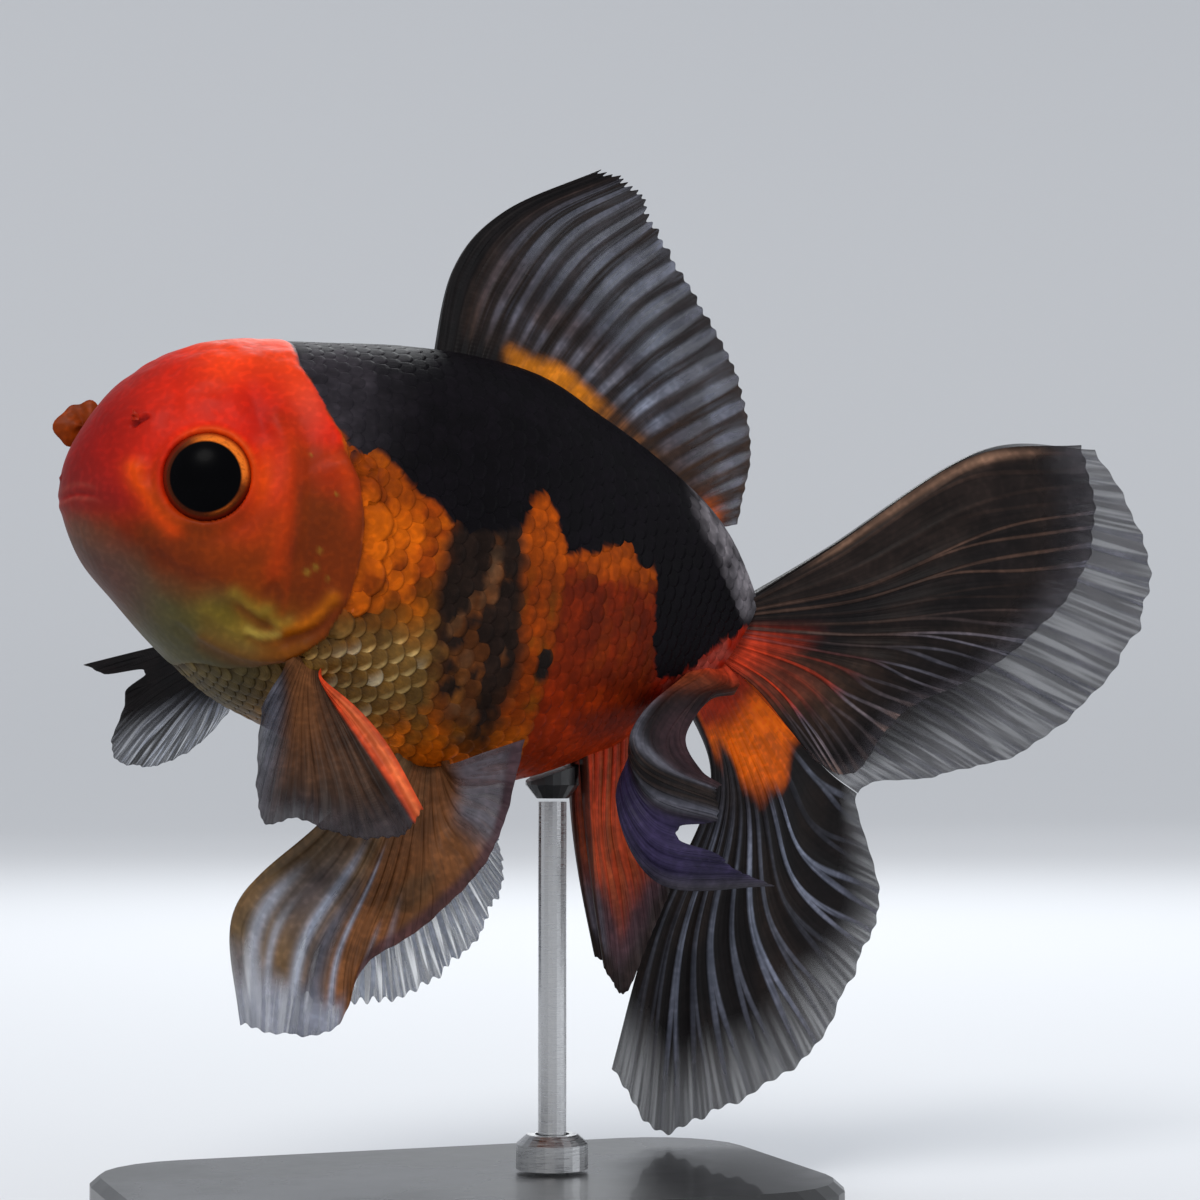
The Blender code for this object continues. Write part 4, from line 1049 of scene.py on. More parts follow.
# the eyes: a flat black pupil in an orange ring, painted bright on its upper back where the light falls and
# dark on its lower front
def makeEyeMaterial():
    made, tree, shader = newMaterial("eyeball")
    out, high = addAttribute(tree, "fromAxis"), addAttribute(tree, "litSide")
    iris = mix(ramp(high, 0, 0.5, smooth=False), eyeTone["low"], eyeTone["middle"])
    iris = mix(ramp(high, 0.45, 1, smooth=False), iris, eyeTone["high"])
    iris = mix(ramp(addNoise(tree, 2600, 3), 0.45, 0.75, 0, 0.4), iris, eyeTone["fleck"])
    front = mix(ramp(out, *eyeShape["pupil"]), eyeTone["pupil"], iris)
    # the lid's colour starts nearer the pupil where the ring is painted dark, and is painted lighter on the
    # lit side
    start = ramp(high, 0, 0.6, *eyeShape["lid"])
    lid = mix(high, eyeTone["lidShaded"], eyeTone["lidLit"])
    ring = ramp(out, eyeShape["pupil"][0], eyeShape["lid"][0]) * ramp(out, *eyeShape["ringEdge"])
    setShader(shader, {
        "Base Color": mix(ramp(out, start, start + eyeShape["lidWidth"]), front, lid),
        "Metallic": ring * 0.35, "Roughness": ramp(ring, 0, 1, 0.3, 0.42),
        "Specular IOR Level": 0.02, "Coat Weight": 0.004, "Coat Roughness": 0.12,
    })
    return made


def makeEye(side, word, material):
    centre, out, back = eyeAxes(side)
    rings, around, depth, flattened = (eyeShape[word] for word in ("rings", "around", "depth", "flattened"))
    gt, gp = ringGrid(rings, around)
    r = eyeShape["radius"] * np.sin(gt)
    # a flatter pupil with the ring falling away from it
    level = depth * np.cos(gt) - flattened * soft(3.2, 2.6, r) * (np.cos(gt) > 0)
    turned = np.cos(gp)[..., None] * back + np.sin(gp)[..., None] * skyward
    points = centre + r[..., None] * turned + level[..., None] * out
    poles = [centre + out * (depth - flattened), centre - out * depth]
    flat = np.concatenate([points.reshape(-1, 3), poles])
    # the pupil sits a little low in its ring
    offset = np.hypot(r * np.cos(gp) - 0.04, r * np.sin(gp) + 0.1)
    # painted light: how lit the ring looks, strongest on the upper back, with a thin bright line on the
    # lower back near the pupil
    high = 0.1 + 0.9 * soft(0, 0.98, np.cos(gp - 1))
    high = high + 0.5 * soft(0.8, 1, np.cos(gp + 0.9)) * soft(3.5, 3.1, r)
    floats = {
        "fromAxis": [*np.where(gt > 1.9, 4.5, offset).ravel(), 0, 5],
        "litSide": [*np.clip(high, 0, 1).ravel(), 0, 0],
    }
    made = addPiece("eyeball_" + word, flat, closedFaces(flat, rings - 1, around), material, floats)
    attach(made, "root")
    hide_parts("eye_" + word)


eyeMaterial = makeEyeMaterial()
for side, word in ((-1, "left"), (1, "right")):
    makeEye(side, word, eyeMaterial)
print("eyes made")


farTailGuides = (
    ((71.8, 3, 8.9), (87.5, 5.2, 21.1), (100.6, 6, 23.6)),
    ((76.8, 4, 6.6), (91.4, 7, 14.4), (109.2, 8, 14.2)),
    ((76.8, 5, 2.8), (92.3, 9, 6.4), (108.6, 10, 4.4)),
    ((76.4, 6, -1.4), (89, 9, -2.2), (100.2, 11, -6)),
    ((74, 6, -5.4), (82.2, 9, -8), (89.2, 10, -10.6)),
    ((71.6, 5.6, -9), (76.8, 8, -11.8), (80.6, 9, -13.4)),
    ((70, 5.5, -12.6), (76, 9, -19), (85.4, 11, -22.6)),
    ((68.8, 5.5, -14.4), (75, 10, -24.6), (84.2, 12, -30)),
    ((67.4, 5.4, -15), (72, 10, -28), (80.8, 13, -39)),
    ((65.8, 5, -15.2), (67.6, 10, -30), (73.4, 13, -44.6)),
    ((64.6, 4.6, -15.2), (64.4, 10, -30.4), (66.2, 13, -48)),
    ((63.4, 4.2, -15), (61.2, 9.2, -28.8), (60.2, 12, -42.4)),
)
# what a fin has unless its own plan says otherwise
finDefaults = {
    "span": (0, 1), "firstFork": 0.45, "secondFork": 0.8, "scallop": 0.008, "ripple": 0.07, "leading": 0.3,
    "softness": 0.14, "wander": 0.03, "variety": 0.2, "streak": 0.7, "notch": None, "slot": "fin_black",
}
finPlans = {
    "dorsal_fin": {
        "root": ((30.3, 0, 17.8), (38.5, 0, 17.6), (48, 0, 13.4), (58.2, 0, 5.6)),
        "guides": (
            ((31, 0.2, 27), (35, 0.4, 33.2), (43.7, 0.4, 39)),
            ((36.5, 0.3, 26), (40.5, 0.5, 33), (47.3, 0.8, 38.2)),
            ((41.4, 0.3, 24), (45, 0.4, 29.8), (49.6, 0.4, 34.8)),
            ((46.5, 0.2, 20.7), (50, 0.1, 25.2), (54, -0.4, 29)),
            ((51.2, 0, 17), (54.8, -0.3, 20.2), (58.6, -0.8, 23)),
            ((55.7, 0, 12.1), (58.4, -0.2, 14.3), (61.2, -0.5, 16)),
            ((58.8, 0, 8), (60.2, 0, 8.7), (61, 0, 9)),
        ),
        "rays": 19, "rayWidth": 0.62, "firstFork": 0.8, "secondFork": 1.5, "scallop": 0.022,
        "softness": 0.5, "wander": 0.012, "variety": 0.12, "look": "dorsal",
    },
    "pectoral_fin_left": {
        "root": ((21.2, -9.5, -11.3), (19.3, -9.5, -9.3)),
        "guides": (
            ((22.9, -14, -13), (26.1, -17, -16.3), (29.2, -20, -21.3)),
            ((22.4, -14.6, -14.6), (24.8, -18, -19.3), (27.5, -20.2, -23.6)),
            ((21, -14.6, -15), (22.4, -18, -20), (23.6, -19.8, -24.3)),
            ((19.6, -14.2, -15), (19.5, -17.6, -19.8), (19.4, -19.6, -23.4)),
            ((18.6, -13.6, -14.2), (17.2, -17, -19.5), (16.3, -19, -23.8)),
            ((18.1, -13, -12.8), (16.6, -15.5, -16.4), (15.7, -17.4, -19.6)),
            ((17.9, -12.2, -11.4), (16.8, -13.4, -13.2), (16, -14.6, -14.8)),
        ),
        "rays": 14, "rayWidth": 0.22, "scallop": 0.01, "ripple": 0.08, "leading": 0.62, "variety": 0.75,
        "softness": 0.35, "streak": 0.35, "look": "pectoralNear", "slot": "fin_smoke",
    },
    "pectoral_fin_right": {
        "root": ((18.9, 9.5, -7.8), (20.7, 9.5, -10.6)),
        "guides": (
            ((16, 14, -8), (12.4, 19, -9.4), (7.8, 25, -11.4)),
            ((16, 14.2, -9.8), (13.2, 18.6, -12), (11.2, 21, -13.6)),
            ((16.3, 14.2, -11.4), (13, 19, -15.2), (10.8, 21.8, -18.8)),
            ((17, 14, -12.4), (14.6, 18.6, -17), (13.2, 21, -20.2)),
            ((17.8, 13.5, -12.6), (16.5, 17, -16.6), (15.8, 19, -19.4)),
            ((18.8, 13, -12.2), (18.5, 15.5, -15.2), (18, 17.2, -17.4)),
            ((19.9, 12.4, -11.6), (19.9, 13.6, -13.2), (19.7, 14.6, -14.4)),
        ),
        "rays": 13, "rayWidth": 0.3, "scallop": 0.012, "ripple": 0.08, "leading": 0.5,
        "notch": (0.118, 0.038, 0.27), "variety": 0.3, "look": "pectoralFar", "slot": "fin_smoke",
    },
    "pelvic_fin_left": {
        "root": ((31.3, -5.2, -15.6), (34.7, -5, -16)),
        "guides": (
            ((22.6, -11.4, -23.8), (15.9, -16, -31), (17, -19, -40.2)),
            ((26.4, -12, -25.2), (21.6, -16, -33), (20.9, -18, -40.4)),
            ((28.5, -11.6, -26.2), (25.6, -15, -33.6), (25.2, -17, -39.6)),
            ((30.3, -11.2, -25.4), (28.6, -13.8, -30.8), (27.3, -15.7, -34.4)),
            ((32.4, -10.6, -23.6), (32.4, -12.6, -27.2), (32.6, -14.3, -30.2)),
            ((34, -10.2, -21.4), (35.6, -11.6, -23.6), (37, -12.8, -25.2)),
            ((34.8, -9.8, -19.2), (37, -11.2, -20.2), (38.6, -12.4, -20.8)),
            ((33.8, -9.8, -16.9), (36.3, -11.6, -15.5), (39.1, -13.2, -14)),
        ),
        "rays": 13, "rayWidth": 0.5, "firstFork": 0.35, "secondFork": 0.7, "leading": 0.45, "variety": 0.4,
        "softness": 0.25, "streak": 0.45, "look": "pelvicNear", "slot": "fin_brown",
    },
    "pelvic_fin_right": {
        "root": ((31.3, 5.2, -15.6), (34.7, 5, -16)),
        "guides": (
            ((31, 11, -24), (30, 14.5, -32), (30.6, 16, -39.2)),
            ((33, 10.6, -24.6), (33.6, 13.2, -32.4), (34.6, 14.4, -39.4)),
            ((34.8, 10, -24), (37.4, 12.6, -31.6), (39.4, 14, -38.2)),
            ((36.4, 9.5, -22.6), (40.2, 11.6, -29), (43.5, 13, -34.8)),
            ((37.5, 9, -21), (42, 10.6, -26), (46, 12, -30.4)),
            ((38, 8.5, -19.8), (42.5, 9.7, -22.6), (46.8, 11, -26.2)),
            ((38, 8.2, -18.8), (42, 9, -20.4), (45.6, 10, -22.4)),
        ),
        "rays": 13, "rayWidth": 0.4, "firstFork": 0.35, "secondFork": 0.7, "scallop": 0.03, "ripple": 0.14,
        "leading": 0.4, "look": "pelvicFar", "slot": "fin_brown",
    },
    "anal_fin_left": {
        "root": ((48.3, -1.7, -13.7), (54.6, -1.4, -10.4)),
        "guides": (
            ((49.2, -2.6, -19.6), (50.4, -3.2, -25.6), (52.2, -4, -32.6)),
            ((51.2, -2.2, -20.4), (52.9, -3.2, -26.8), (54.4, -4.2, -34.6)),
            ((53.6, -2, -18.6), (55.2, -3.2, -23.6), (56.4, -4, -28.6)),
            ((55.4, -1.9, -16.2), (56.8, -2.8, -20.2), (57.8, -3.6, -24.4)),
        ),
        "rays": 8, "rayWidth": 0.3, "firstFork": 0.4, "secondFork": 1.5, "scallop": 0.006, "ripple": 0.06,
        "leading": 0.35, "look": "anal", "slot": "fin_orange",
    },
    "anal_fin_right": {
        "root": ((48.3, 1.7, -13.7), (54.6, 1.4, -10.4)),
        "guides": (
            ((49.4, 1.8, -19.4), (51, 1.8, -25.2), (53.4, 1.8, -32)),
            ((52, 1.9, -19.6), (54.2, 2, -25.4), (56.4, 2, -31.6)),
            ((54, 1.9, -18.2), (56, 2.2, -23), (57.6, 2.4, -27.6)),
            ((55.8, 1.9, -15.8), (57.4, 2.3, -19.6), (58.8, 2.6, -23.4)),
        ),
        "rays": 8, "rayWidth": 0.3, "firstFork": 0.4, "secondFork": 1.5, "scallop": 0.006, "ripple": 0.06,
        "leading": 0.35, "look": "anal", "slot": "fin_orange",
    },
    "tail_fin_left_upper": {
        "root": ((61.8, -1.3, 1.4), (59.4, -1.4, -3.4)),
        "guides": (
            ((69.6, -2.2, 8), (82, -3.5, 18.6), (93.4, -4, 21.8)),
            ((72.4, -3.2, 4.8), (83.2, -5.2, 11), (94.8, -6, 14.4)),
            ((71.8, -3.6, 1.8), (80.5, -6.2, 4), (92, -7, 6.4)),
            ((70.8, -3.6, -0.8), (77.6, -6, -0.4), (84.4, -7, -1.4)),
            ((68.2, -3.4, -3), (72.6, -5.2, -4.6), (77, -6.4, -6.2)),
            ((65.8, -3, -4.8), (69.6, -4.8, -8), (73, -6, -12.4)),
            ((63.4, -2.6, -5.6), (66.2, -3.8, -8.4), (69.4, -5, -11.8)),
        ),
        "rays": 15, "rayWidth": 0.13, "secondFork": 0.85, "scallop": 0.006, "ripple": 0.06, "softness": 0.2,
        "variety": 0.85, "look": "tailDark",
    },
    "tail_fin_left_lower": {
        "root": ((59.6, -1.2, -3.6), (57.2, -1, -6.6)),
        "guides": (
            (
                (61.4, -4, -6.2), (57.4, -8, -7.7), (53.8, -12, -11.8),
                (54.7, -14.2, -14.5), (56.6, -14.8, -15.5),
            ),
            (
                (56.3, -5, -5.9), (51.4, -10, -9.1), (48.4, -14, -12.6),
                (49.5, -16.4, -15), (56.1, -15.8, -16.4),
            ),
            ((53.8, -6.4, -9.8), (48.8, -12.6, -14.4), (50.2, -16.6, -18.6), (56.6, -16, -19.2)),
            ((52.8, -6.8, -11), (48.2, -13.2, -16.6), (50.6, -16.6, -21.6), (58.2, -14.8, -22)),
            ((51.8, -7, -12.2), (48.2, -12.6, -18.4), (52.2, -15, -24.6), (64, -12, -23.4)),
        ),
        "rays": 9, "rayWidth": 0.16, "firstFork": 0.35, "secondFork": 0.7, "ripple": 0.06, "leading": 0.25,
        "notch": (0.58, 0.09, 0.15), "variety": 0.6, "look": "tailCurl",
    },
    "tail_fin_right_upper": {
        "root": ((61.8, 1.3, 1.4), (58, 1.3, -6.4)),
        "guides": farTailGuides,
        "span": (0, 0.4537), "rays": 13, "rayWidth": 0.14, "scallop": 0.006, "softness": 0.25,
        "variety": 0.6, "look": "tailPale",
    },
    "tail_fin_right_lower": {
        "root": ((61.8, 1.3, 1.4), (58, 1.3, -6.4)),
        "guides": farTailGuides,
        "span": (0.4553, 1), "rays": 13, "rayWidth": 0.26, "firstFork": 0.6, "secondFork": 1.2,
        "softness": 0.26, "variety": 0.85, "look": "tailLow",
    },
}

finTone = {
    "black": (0.006, 0.0045, 0.0048), "soot": (0.017, 0.011, 0.009), "smoke": (0.045, 0.042, 0.05),
    "haze": (0.115, 0.12, 0.15), "brown": (0.15, 0.058, 0.02), "bark": (0.06, 0.03, 0.017),
    "moss": (0.13, 0.085, 0.04), "tan": (0.3, 0.17, 0.11), "orange": (0.66, 0.1, 0.001),
    "flame": (0.97, 0.16, 0.001), "honey": (0.66, 0.205, 0.008), "red": (0.42, 0.032, 0.008),
    "rose": (0.64, 0.13, 0.04), "plum": (0.05, 0.024, 0.03), "navy": (0.026, 0.02, 0.056),
    "slate": (0.075, 0.08, 0.105), "steel": (0.15, 0.165, 0.22), "mist": (0.3, 0.35, 0.45),
}
# pale stripes of the near pelvic fin: strength, place across, width, and where they start along it
paleStripes = (
    (0.8, 0.05, 0.013, 0.4, 0.6), (1, 0.15, 0.014, 0.25, 0.45), (0.6, 0.085, 0.008, 0.5, 0.7),
    (0.85, 0.262, 0.01, 0.25, 0.4), (0.35, 0.42, 0.014, 0.6, 0.8), (0.3, 0.48, 0.01, 0.5, 0.8),
)
# membrane, rays and cover that each look starts from
finGrounds = {
    "dorsal": ("bark", "black", 1), "pectoralNear": ("soot", "bark", 1),
    "pectoralFar": ("black", "black", 1), "pelvicNear": ("brown", "brown", 1),
    "pelvicFar": ("slate", "mist", 0.7), "anal": ("red", "red", 1), "tailCurl": ("black", "soot", 1),
    "tailDark": ("black", "smoke", 1), "tailPale": ("black", "smoke", 1), "tailLow": ("black", "smoke", 1),
}


class finLook:
    # membrane colour, ray colour and cover of a fin, painted over its along (u) and across (v)
    def __init__(self, membrane, ray, cover, shape):
        self.membrane, self.rays = painting(finTone, membrane, shape), painting(finTone, ray, shape)
        self.cover, self.plain = np.full(shape, float(cover)), np.zeros(shape)

    def paint(self, name, mask):
        self.membrane.paint(name, mask)
        self.rays.paint(name, mask)

    def thin(self, cover, mask):
        mask = np.clip(mask, 0, 1)
        self.cover = self.cover * (1 - mask) + cover * mask


def paintFin(kind, u, v, n):
    # n is slow noise over the fin
    look = finLook(*finGrounds[kind], u.shape)
    paint, thin, membrane, rays = look.paint, look.thin, look.membrane.paint, look.rays.paint
    if kind == "dorsal":
        blue = soft(0.14, 0.5, u + 0.15 * n) * soft(0.04, 0.13, v) * (1 - 0.45 * soft(0.6, 0.9, v))
        membrane("slate", blue)
        membrane("steel", blue * soft(0, 0.4, n) * 0.8)
        membrane("mist", blue * 0.7 * hump(u, v, (0.45, 0.52), (0.28, 0.14)) * soft(-0.3, 0.3, n))
        thin(0.9, soft(0.35, 0.7, u) * soft(0.06, 0.2, v))
        rays("bark", 0.12 + 0.5 * soft(0.55, 0.9, v))
        warm = soft(0.2, 0.12, u + 0.05 * n - 0.05 * soft(0.25, 0.5, v))
        warm = warm * soft(0.2, 0.25, v) * soft(0.95, 0.6, v)
        membrane("honey", warm * soft(0.64, 0.5, v))
        membrane("brown", warm * soft(0.5, 0.7, v))
        rays("honey", warm * 0.8 * soft(0.6, 0.48, v))
        look.plain = np.clip(0.5 * warm * soft(0.6, 0.48, v), 0, 1)
        paint("red", soft(0.07, 0.045, u) * soft(0.2, 0.35, v))
        paint("flame", hump(u, v, (0.12, 0.955), (0.28, 0.045)) * 1.5)
        membrane("soot", 0.8 * soft(0.34, 0.1, u + 0.2 * v) * soft(0.9, 0.6, v) * (1 - warm))
        paint("black", soft(0.09, 0.05, v) + soft(0.16, 0.06, u) * soft(0.3, 0.22, v))
    elif kind == "pectoralNear":
        rays("soot", 0.4 + 0 * u)
        paint("bark", 0.6 * hump(u, v, (0.55, 0.35), (0.3, 0.25)))
        paint("brown", 0.7 * soft(0.42, 0.15, u) * soft(0.2, 0.45, v))
        paint("brown", 0.95 * hump(u, v, (0.34, 0.52), (0.24, 0.2)))
        paint("slate", soft(0.55, 0.85, v) * soft(0.25, 0.6, u) * 0.9)
        rays("haze", soft(0.6, 0.9, v) * soft(0.35, 0.7, u) * 0.6)
        thin(0.86, soft(0.5, 0.95, v) * soft(0.3, 0.7, u))
        paint("smoke", soft(0.7, 1, u) * 0.8)
        thin(0.86, soft(0.82, 1, u))
        # painted highlight: the red leading rod painted rose down its middle, as if lit round, and darker
        # red at its edges
        rod = soft(0.115, 0.085, v * (0.55 + 0.75 * u))
        paint("red", rod)
        middle = stripe(v * (0.55 + 0.75 * u), 0.045, 0.026)
        paint("rose", rod * (0.25 + 0.75 * middle) * soft(0.1, 0.4, u))
        thin(1, rod)
        look.plain = rod
    elif kind == "pectoralFar":
        clear = soft(0.3, 0.55, v + 0.25 * (u - 0.6)) * soft(0.3, 0.55, u)
        membrane("steel", clear * 0.9)
        membrane("mist", clear * soft(0.4, 0.8, u) * soft(0.3, 0.5, v) * 0.85)
        thin(0.86, clear)
        thin(0.45, clear * soft(0.4, 0.8, u))
    elif kind == "pelvicNear":
        paint("moss", 0.8 * soft(0.3, 0.16, v) + 0.35 * soft(0.1, 0.6, n))
        paint("slate", 0.6 * hump(u, v, (0.5, 0.1), (0.16, 0.05)))
        dull = 0.8 * soft(0.86, 0.97, u) * soft(0.09, 0.03, v)
        paint("bark", 0.4 * soft(0.42, 0.25, u) + 0.4 * soft(0.2, 0.7, n) + dull)
        pale = 0 * u
        for strength, centre, width, low, high in paleStripes:
            pale += strength * stripe(v, centre, width) * soft(low, high, u)
        paint("mist", pale * 0.85)
        thin(0.82, pale)
        paint("slate", stripe(v, 0.205, 0.03) * soft(0.3, 0.6, u) * 0.9)
        thin(0.84, stripe(v, 0.205, 0.03) * soft(0.4, 0.8, u))
        side = soft(0.7, 0.82, v) * soft(0.25, 0.5, u)
        membrane("slate", side * 0.75)
        rays("haze", side * 0.9)
        thin(0.92, side)
        edge = soft(0.8, 0.92, u) * soft(0.36, 0.42, v)
        paint("plum", edge * 0.85)
        thin(1, edge)
        tip = soft(0.76, 0.93, u + 0.12 * n) * soft(0.34, 0.28, v)
        paint("steel", tip)
        thin(0.58, tip)
    elif kind == "pelvicFar":
        paint("brown", soft(0.7, 0.4, u))
        thin(1, soft(0.7, 0.4, u))
        thin(0.45, soft(0.7, 0.9, u))
    elif kind == "anal":
        rays("brown", 0.6 * soft(0.1, 0.5, u))
        membrane("brown", 0.35 + 0.3 * soft(0, 0.6, n))
        paint("plum", soft(0.5, 0.82, u + 0.12 * n))
        paint("smoke", 0.5 * soft(0.8, 0.95, u))
        paint("haze", stripe(v, 0.06, 0.05) * soft(0.6, 0.75, u) * soft(0.98, 0.85, u) * 0.6)
        paint("soot", soft(0.05, 0.01, v) * 0.8 + soft(0.84, 0.94, u + 0.08 * n) * 0.8)
    elif kind == "tailCurl":
        paint("plum", 0.6 * soft(0.22, 0.05, v) * soft(0.35, 0.6, u))
        paint("navy", soft(0.42, 0.56, v) * soft(0.35, 0.55, u))
        # painted highlights: pale streaks along the edges of the rolled fold
        paint("haze", 0.7 * stripe(v, 0.27 - 0.1 * soft(0.45, 0.8, u), 0.04) * soft(0.28, 0.42, u))
        paint("haze", 0.7 * stripe(v, 0.41, 0.03) * soft(0.6, 0.75, u))
        paint("smoke", soft(0.84, 1, v) * soft(0.55, 0.8, u) * 0.9)
        paint("red", soft(0.26, 0.1, u) * 0.8)
        # painted highlight: a pink glow near the root of the curl
        paint("rose", hump(u, v, (0.22, 0.55), (0.12, 0.4)) * 0.5)
    else:
        pale = {"tailPale": (0.56, 0.9), "tailDark": (0.84, 1.02), "tailLow": (0.8, 1.05)}[kind]
        edge = soft(*pale, u + 0.07 * n)
        membrane("smoke", edge * 0.8)
        rays("haze", edge * 0.8)
        thin({"tailPale": 0.66, "tailDark": 0.8, "tailLow": 0.76}[kind], edge)
        membrane("soot", 0.7 * soft(-0.2, 0.4, n) * (1 - edge))
        if kind == "tailDark":
            membrane("red", 0.32 * soft(0.62, 0.35, u) * soft(0.6, 0.78, v))
            rays("bark", 0.8 * soft(0.65, 0.35, v) * (1 - edge))
            low = soft(0.52, 0.68, v)
            membrane("bark", low * soft(0.9, 0.5, u) * 0.5)
            rays("red", low * soft(0.72, 0.45, u))
            membrane("red", soft(0.3, 0.12, u) * soft(0.3, 0.6, v) * 0.8)
            rays("tan", low * soft(0.6, 0.8, u) * 0.5)
            rays("steel", soft(0.3, 0.5, v) * soft(0.45, 0.75, u) * soft(1, 0.85, u) * 0.5)
            paint("tan", stripe(v, 0.012, 0.01) * soft(0.2, 0.4, u) * soft(0.95, 0.7, u) * 0.6)
        if kind == "tailPale":
            paint("orange", soft(0.36, 0.24, u) * soft(0.85, 0.97, v))
        if kind == "tailLow":
            warm = soft(0.38, 0.29, u + 0.09 * n + 0.11 * soft(0.3, 0.9, v)) * soft(1, 0.85, v)
            paint("flame", warm)
            look.plain = 0.6 * np.clip(warm, 0, 1)
            paint("orange", warm * soft(0.27, 0.37, u) * 0.7)
            paint("red", warm * soft(0.2, 0.12, u))
            rays("steel", soft(0.34, 0.46, u) * soft(1, 0.8, u) * 0.9)
            rays("mist", soft(0.4, 0.55, u) * soft(0.85, 0.65, u) * 0.35)
    return look


def makeFinMaterial(name, plan, clear):
    made, tree, shader = newMaterial(name)
    rays = addGroup(tree, finRays, {
        "Along": addAttribute(tree, "along"), "Across": addAttribute(tree, "across"),
        "Spread": addAttribute(tree, "spread"), "Rays": plan["rays"], "Ray Width": plan["rayWidth"],
        "Softness": plan["softness"], "Wander": plan["wander"], "Variety": plan["variety"],
        "First Fork": plan["firstFork"], "Second Fork": plan["secondFork"],
    })
    ray, streak, drawn = rays["Ray"], rays["Streak"], 1.0 - addAttribute(tree, "plain")
    lined = ray * ramp(streak, 0.2, 0.55, 0.55, 1) * drawn
    colour = mix(lined, addAttribute(tree, "membrane", True), addAttribute(tree, "ray", True))
    darker = ramp(streak, 0.55, 0.35, 0, plan["streak"]) * drawn
    colour = mix(darker, colour, tinted(colour, (0.6, 0.6, 0.62)))
    height = addLiving(tree, shader, {"Colour": colour, "Clouding": 0.45, "Pores": 0.4, "Roughness": 0.48})
    if clear:
        # light crosses both faces of the fin, so each face lets the square root of it pass
        passed = addMath("SUBTRACT", 1, addAttribute(tree, "cover"), clamp=True) * (1.0 - ray * 0.7)
        passed = addMath("MULTIPLY", passed, ramp(streak, 0.35, 0.6, 1.25, 0.45), clamp=True)
        feed(shader.inputs["Alpha"], 1.0 - addMath("SQRT", passed))
    ridge = (ray + streak * 0.7 + rays["Joints"] * ray * 0.12) * drawn
    setShader(shader, {
        "Normal": addBump(ridge + height * 0.25, 0.0001, 0.9),
        "Coat Weight": 0.03, "Coat Roughness": 0.35, "Specular IOR Level": 0.08,
    })
    return made


finMesh = {"along": 66, "perRay": 15, "rootHalf": 0.42, "edgeHalf": 0.06, "readings": 300}


def finReach(name, plan, v):
    # the margin draws in between the ray tips, a little differently at each ray
    random = np.random.default_rng(len(name) * 7 + plan["rays"])
    tips = plan["rays"] * (2 if plan["firstFork"] < 1 else 1)
    uneven = np.interp(v * tips, np.arange(tips + 1), random.random(tips + 1))
    reach = 1 - plan["scallop"] * (0.35 + uneven) * np.sin(math.pi * tips * v) ** 2 - 0.012 * uneven
    if plan["notch"]:
        middle, width, depth = plan["notch"]
        reach -= depth * np.exp(-(((v - middle) / width) ** 4))
    return reach


def finSheet(plan, u, v):
    # places on the fin's middle sheet
    steps = finMesh["readings"]
    places, (low, high) = np.linspace(0, 1, steps + 1), plan["span"]
    bases = curveThrough(plan["root"], np.linspace(0, 1, len(plan["guides"])))
    fine = [curveThrough([base, *guide], places) for base, guide in zip(bases, plan["guides"])]
    fan = curveThrough(np.stack(fine), low + (high - low) * v)
    i = np.clip((u * steps).astype(int), 0, steps - 1)
    f = (u * steps - i)[..., None]
    columns = np.arange(len(v))[None, :]
    return fan[columns, i] * (1 - f) + fan[columns, i + 1] * f


def finFaces(points, along, across):
    # two sheets, joined round their edge
    back, row = len(points) // 2, across + 1
    front = gridFaces(along + 1, row)
    rim = [(k, k + 1) for k in range(across)]
    rim += [(i * row + across, (i + 1) * row + across) for i in range(along)]
    rim += [(along * row + k + 1, along * row + k) for k in range(across)]
    rim += [((i + 1) * row, i * row) for i in range(along)]
    edge = np.array([(b, a, back + a, back + b) for a, b in rim])
    return facingOut(points, np.concatenate([front, front[:, ::-1] + back, edge]))


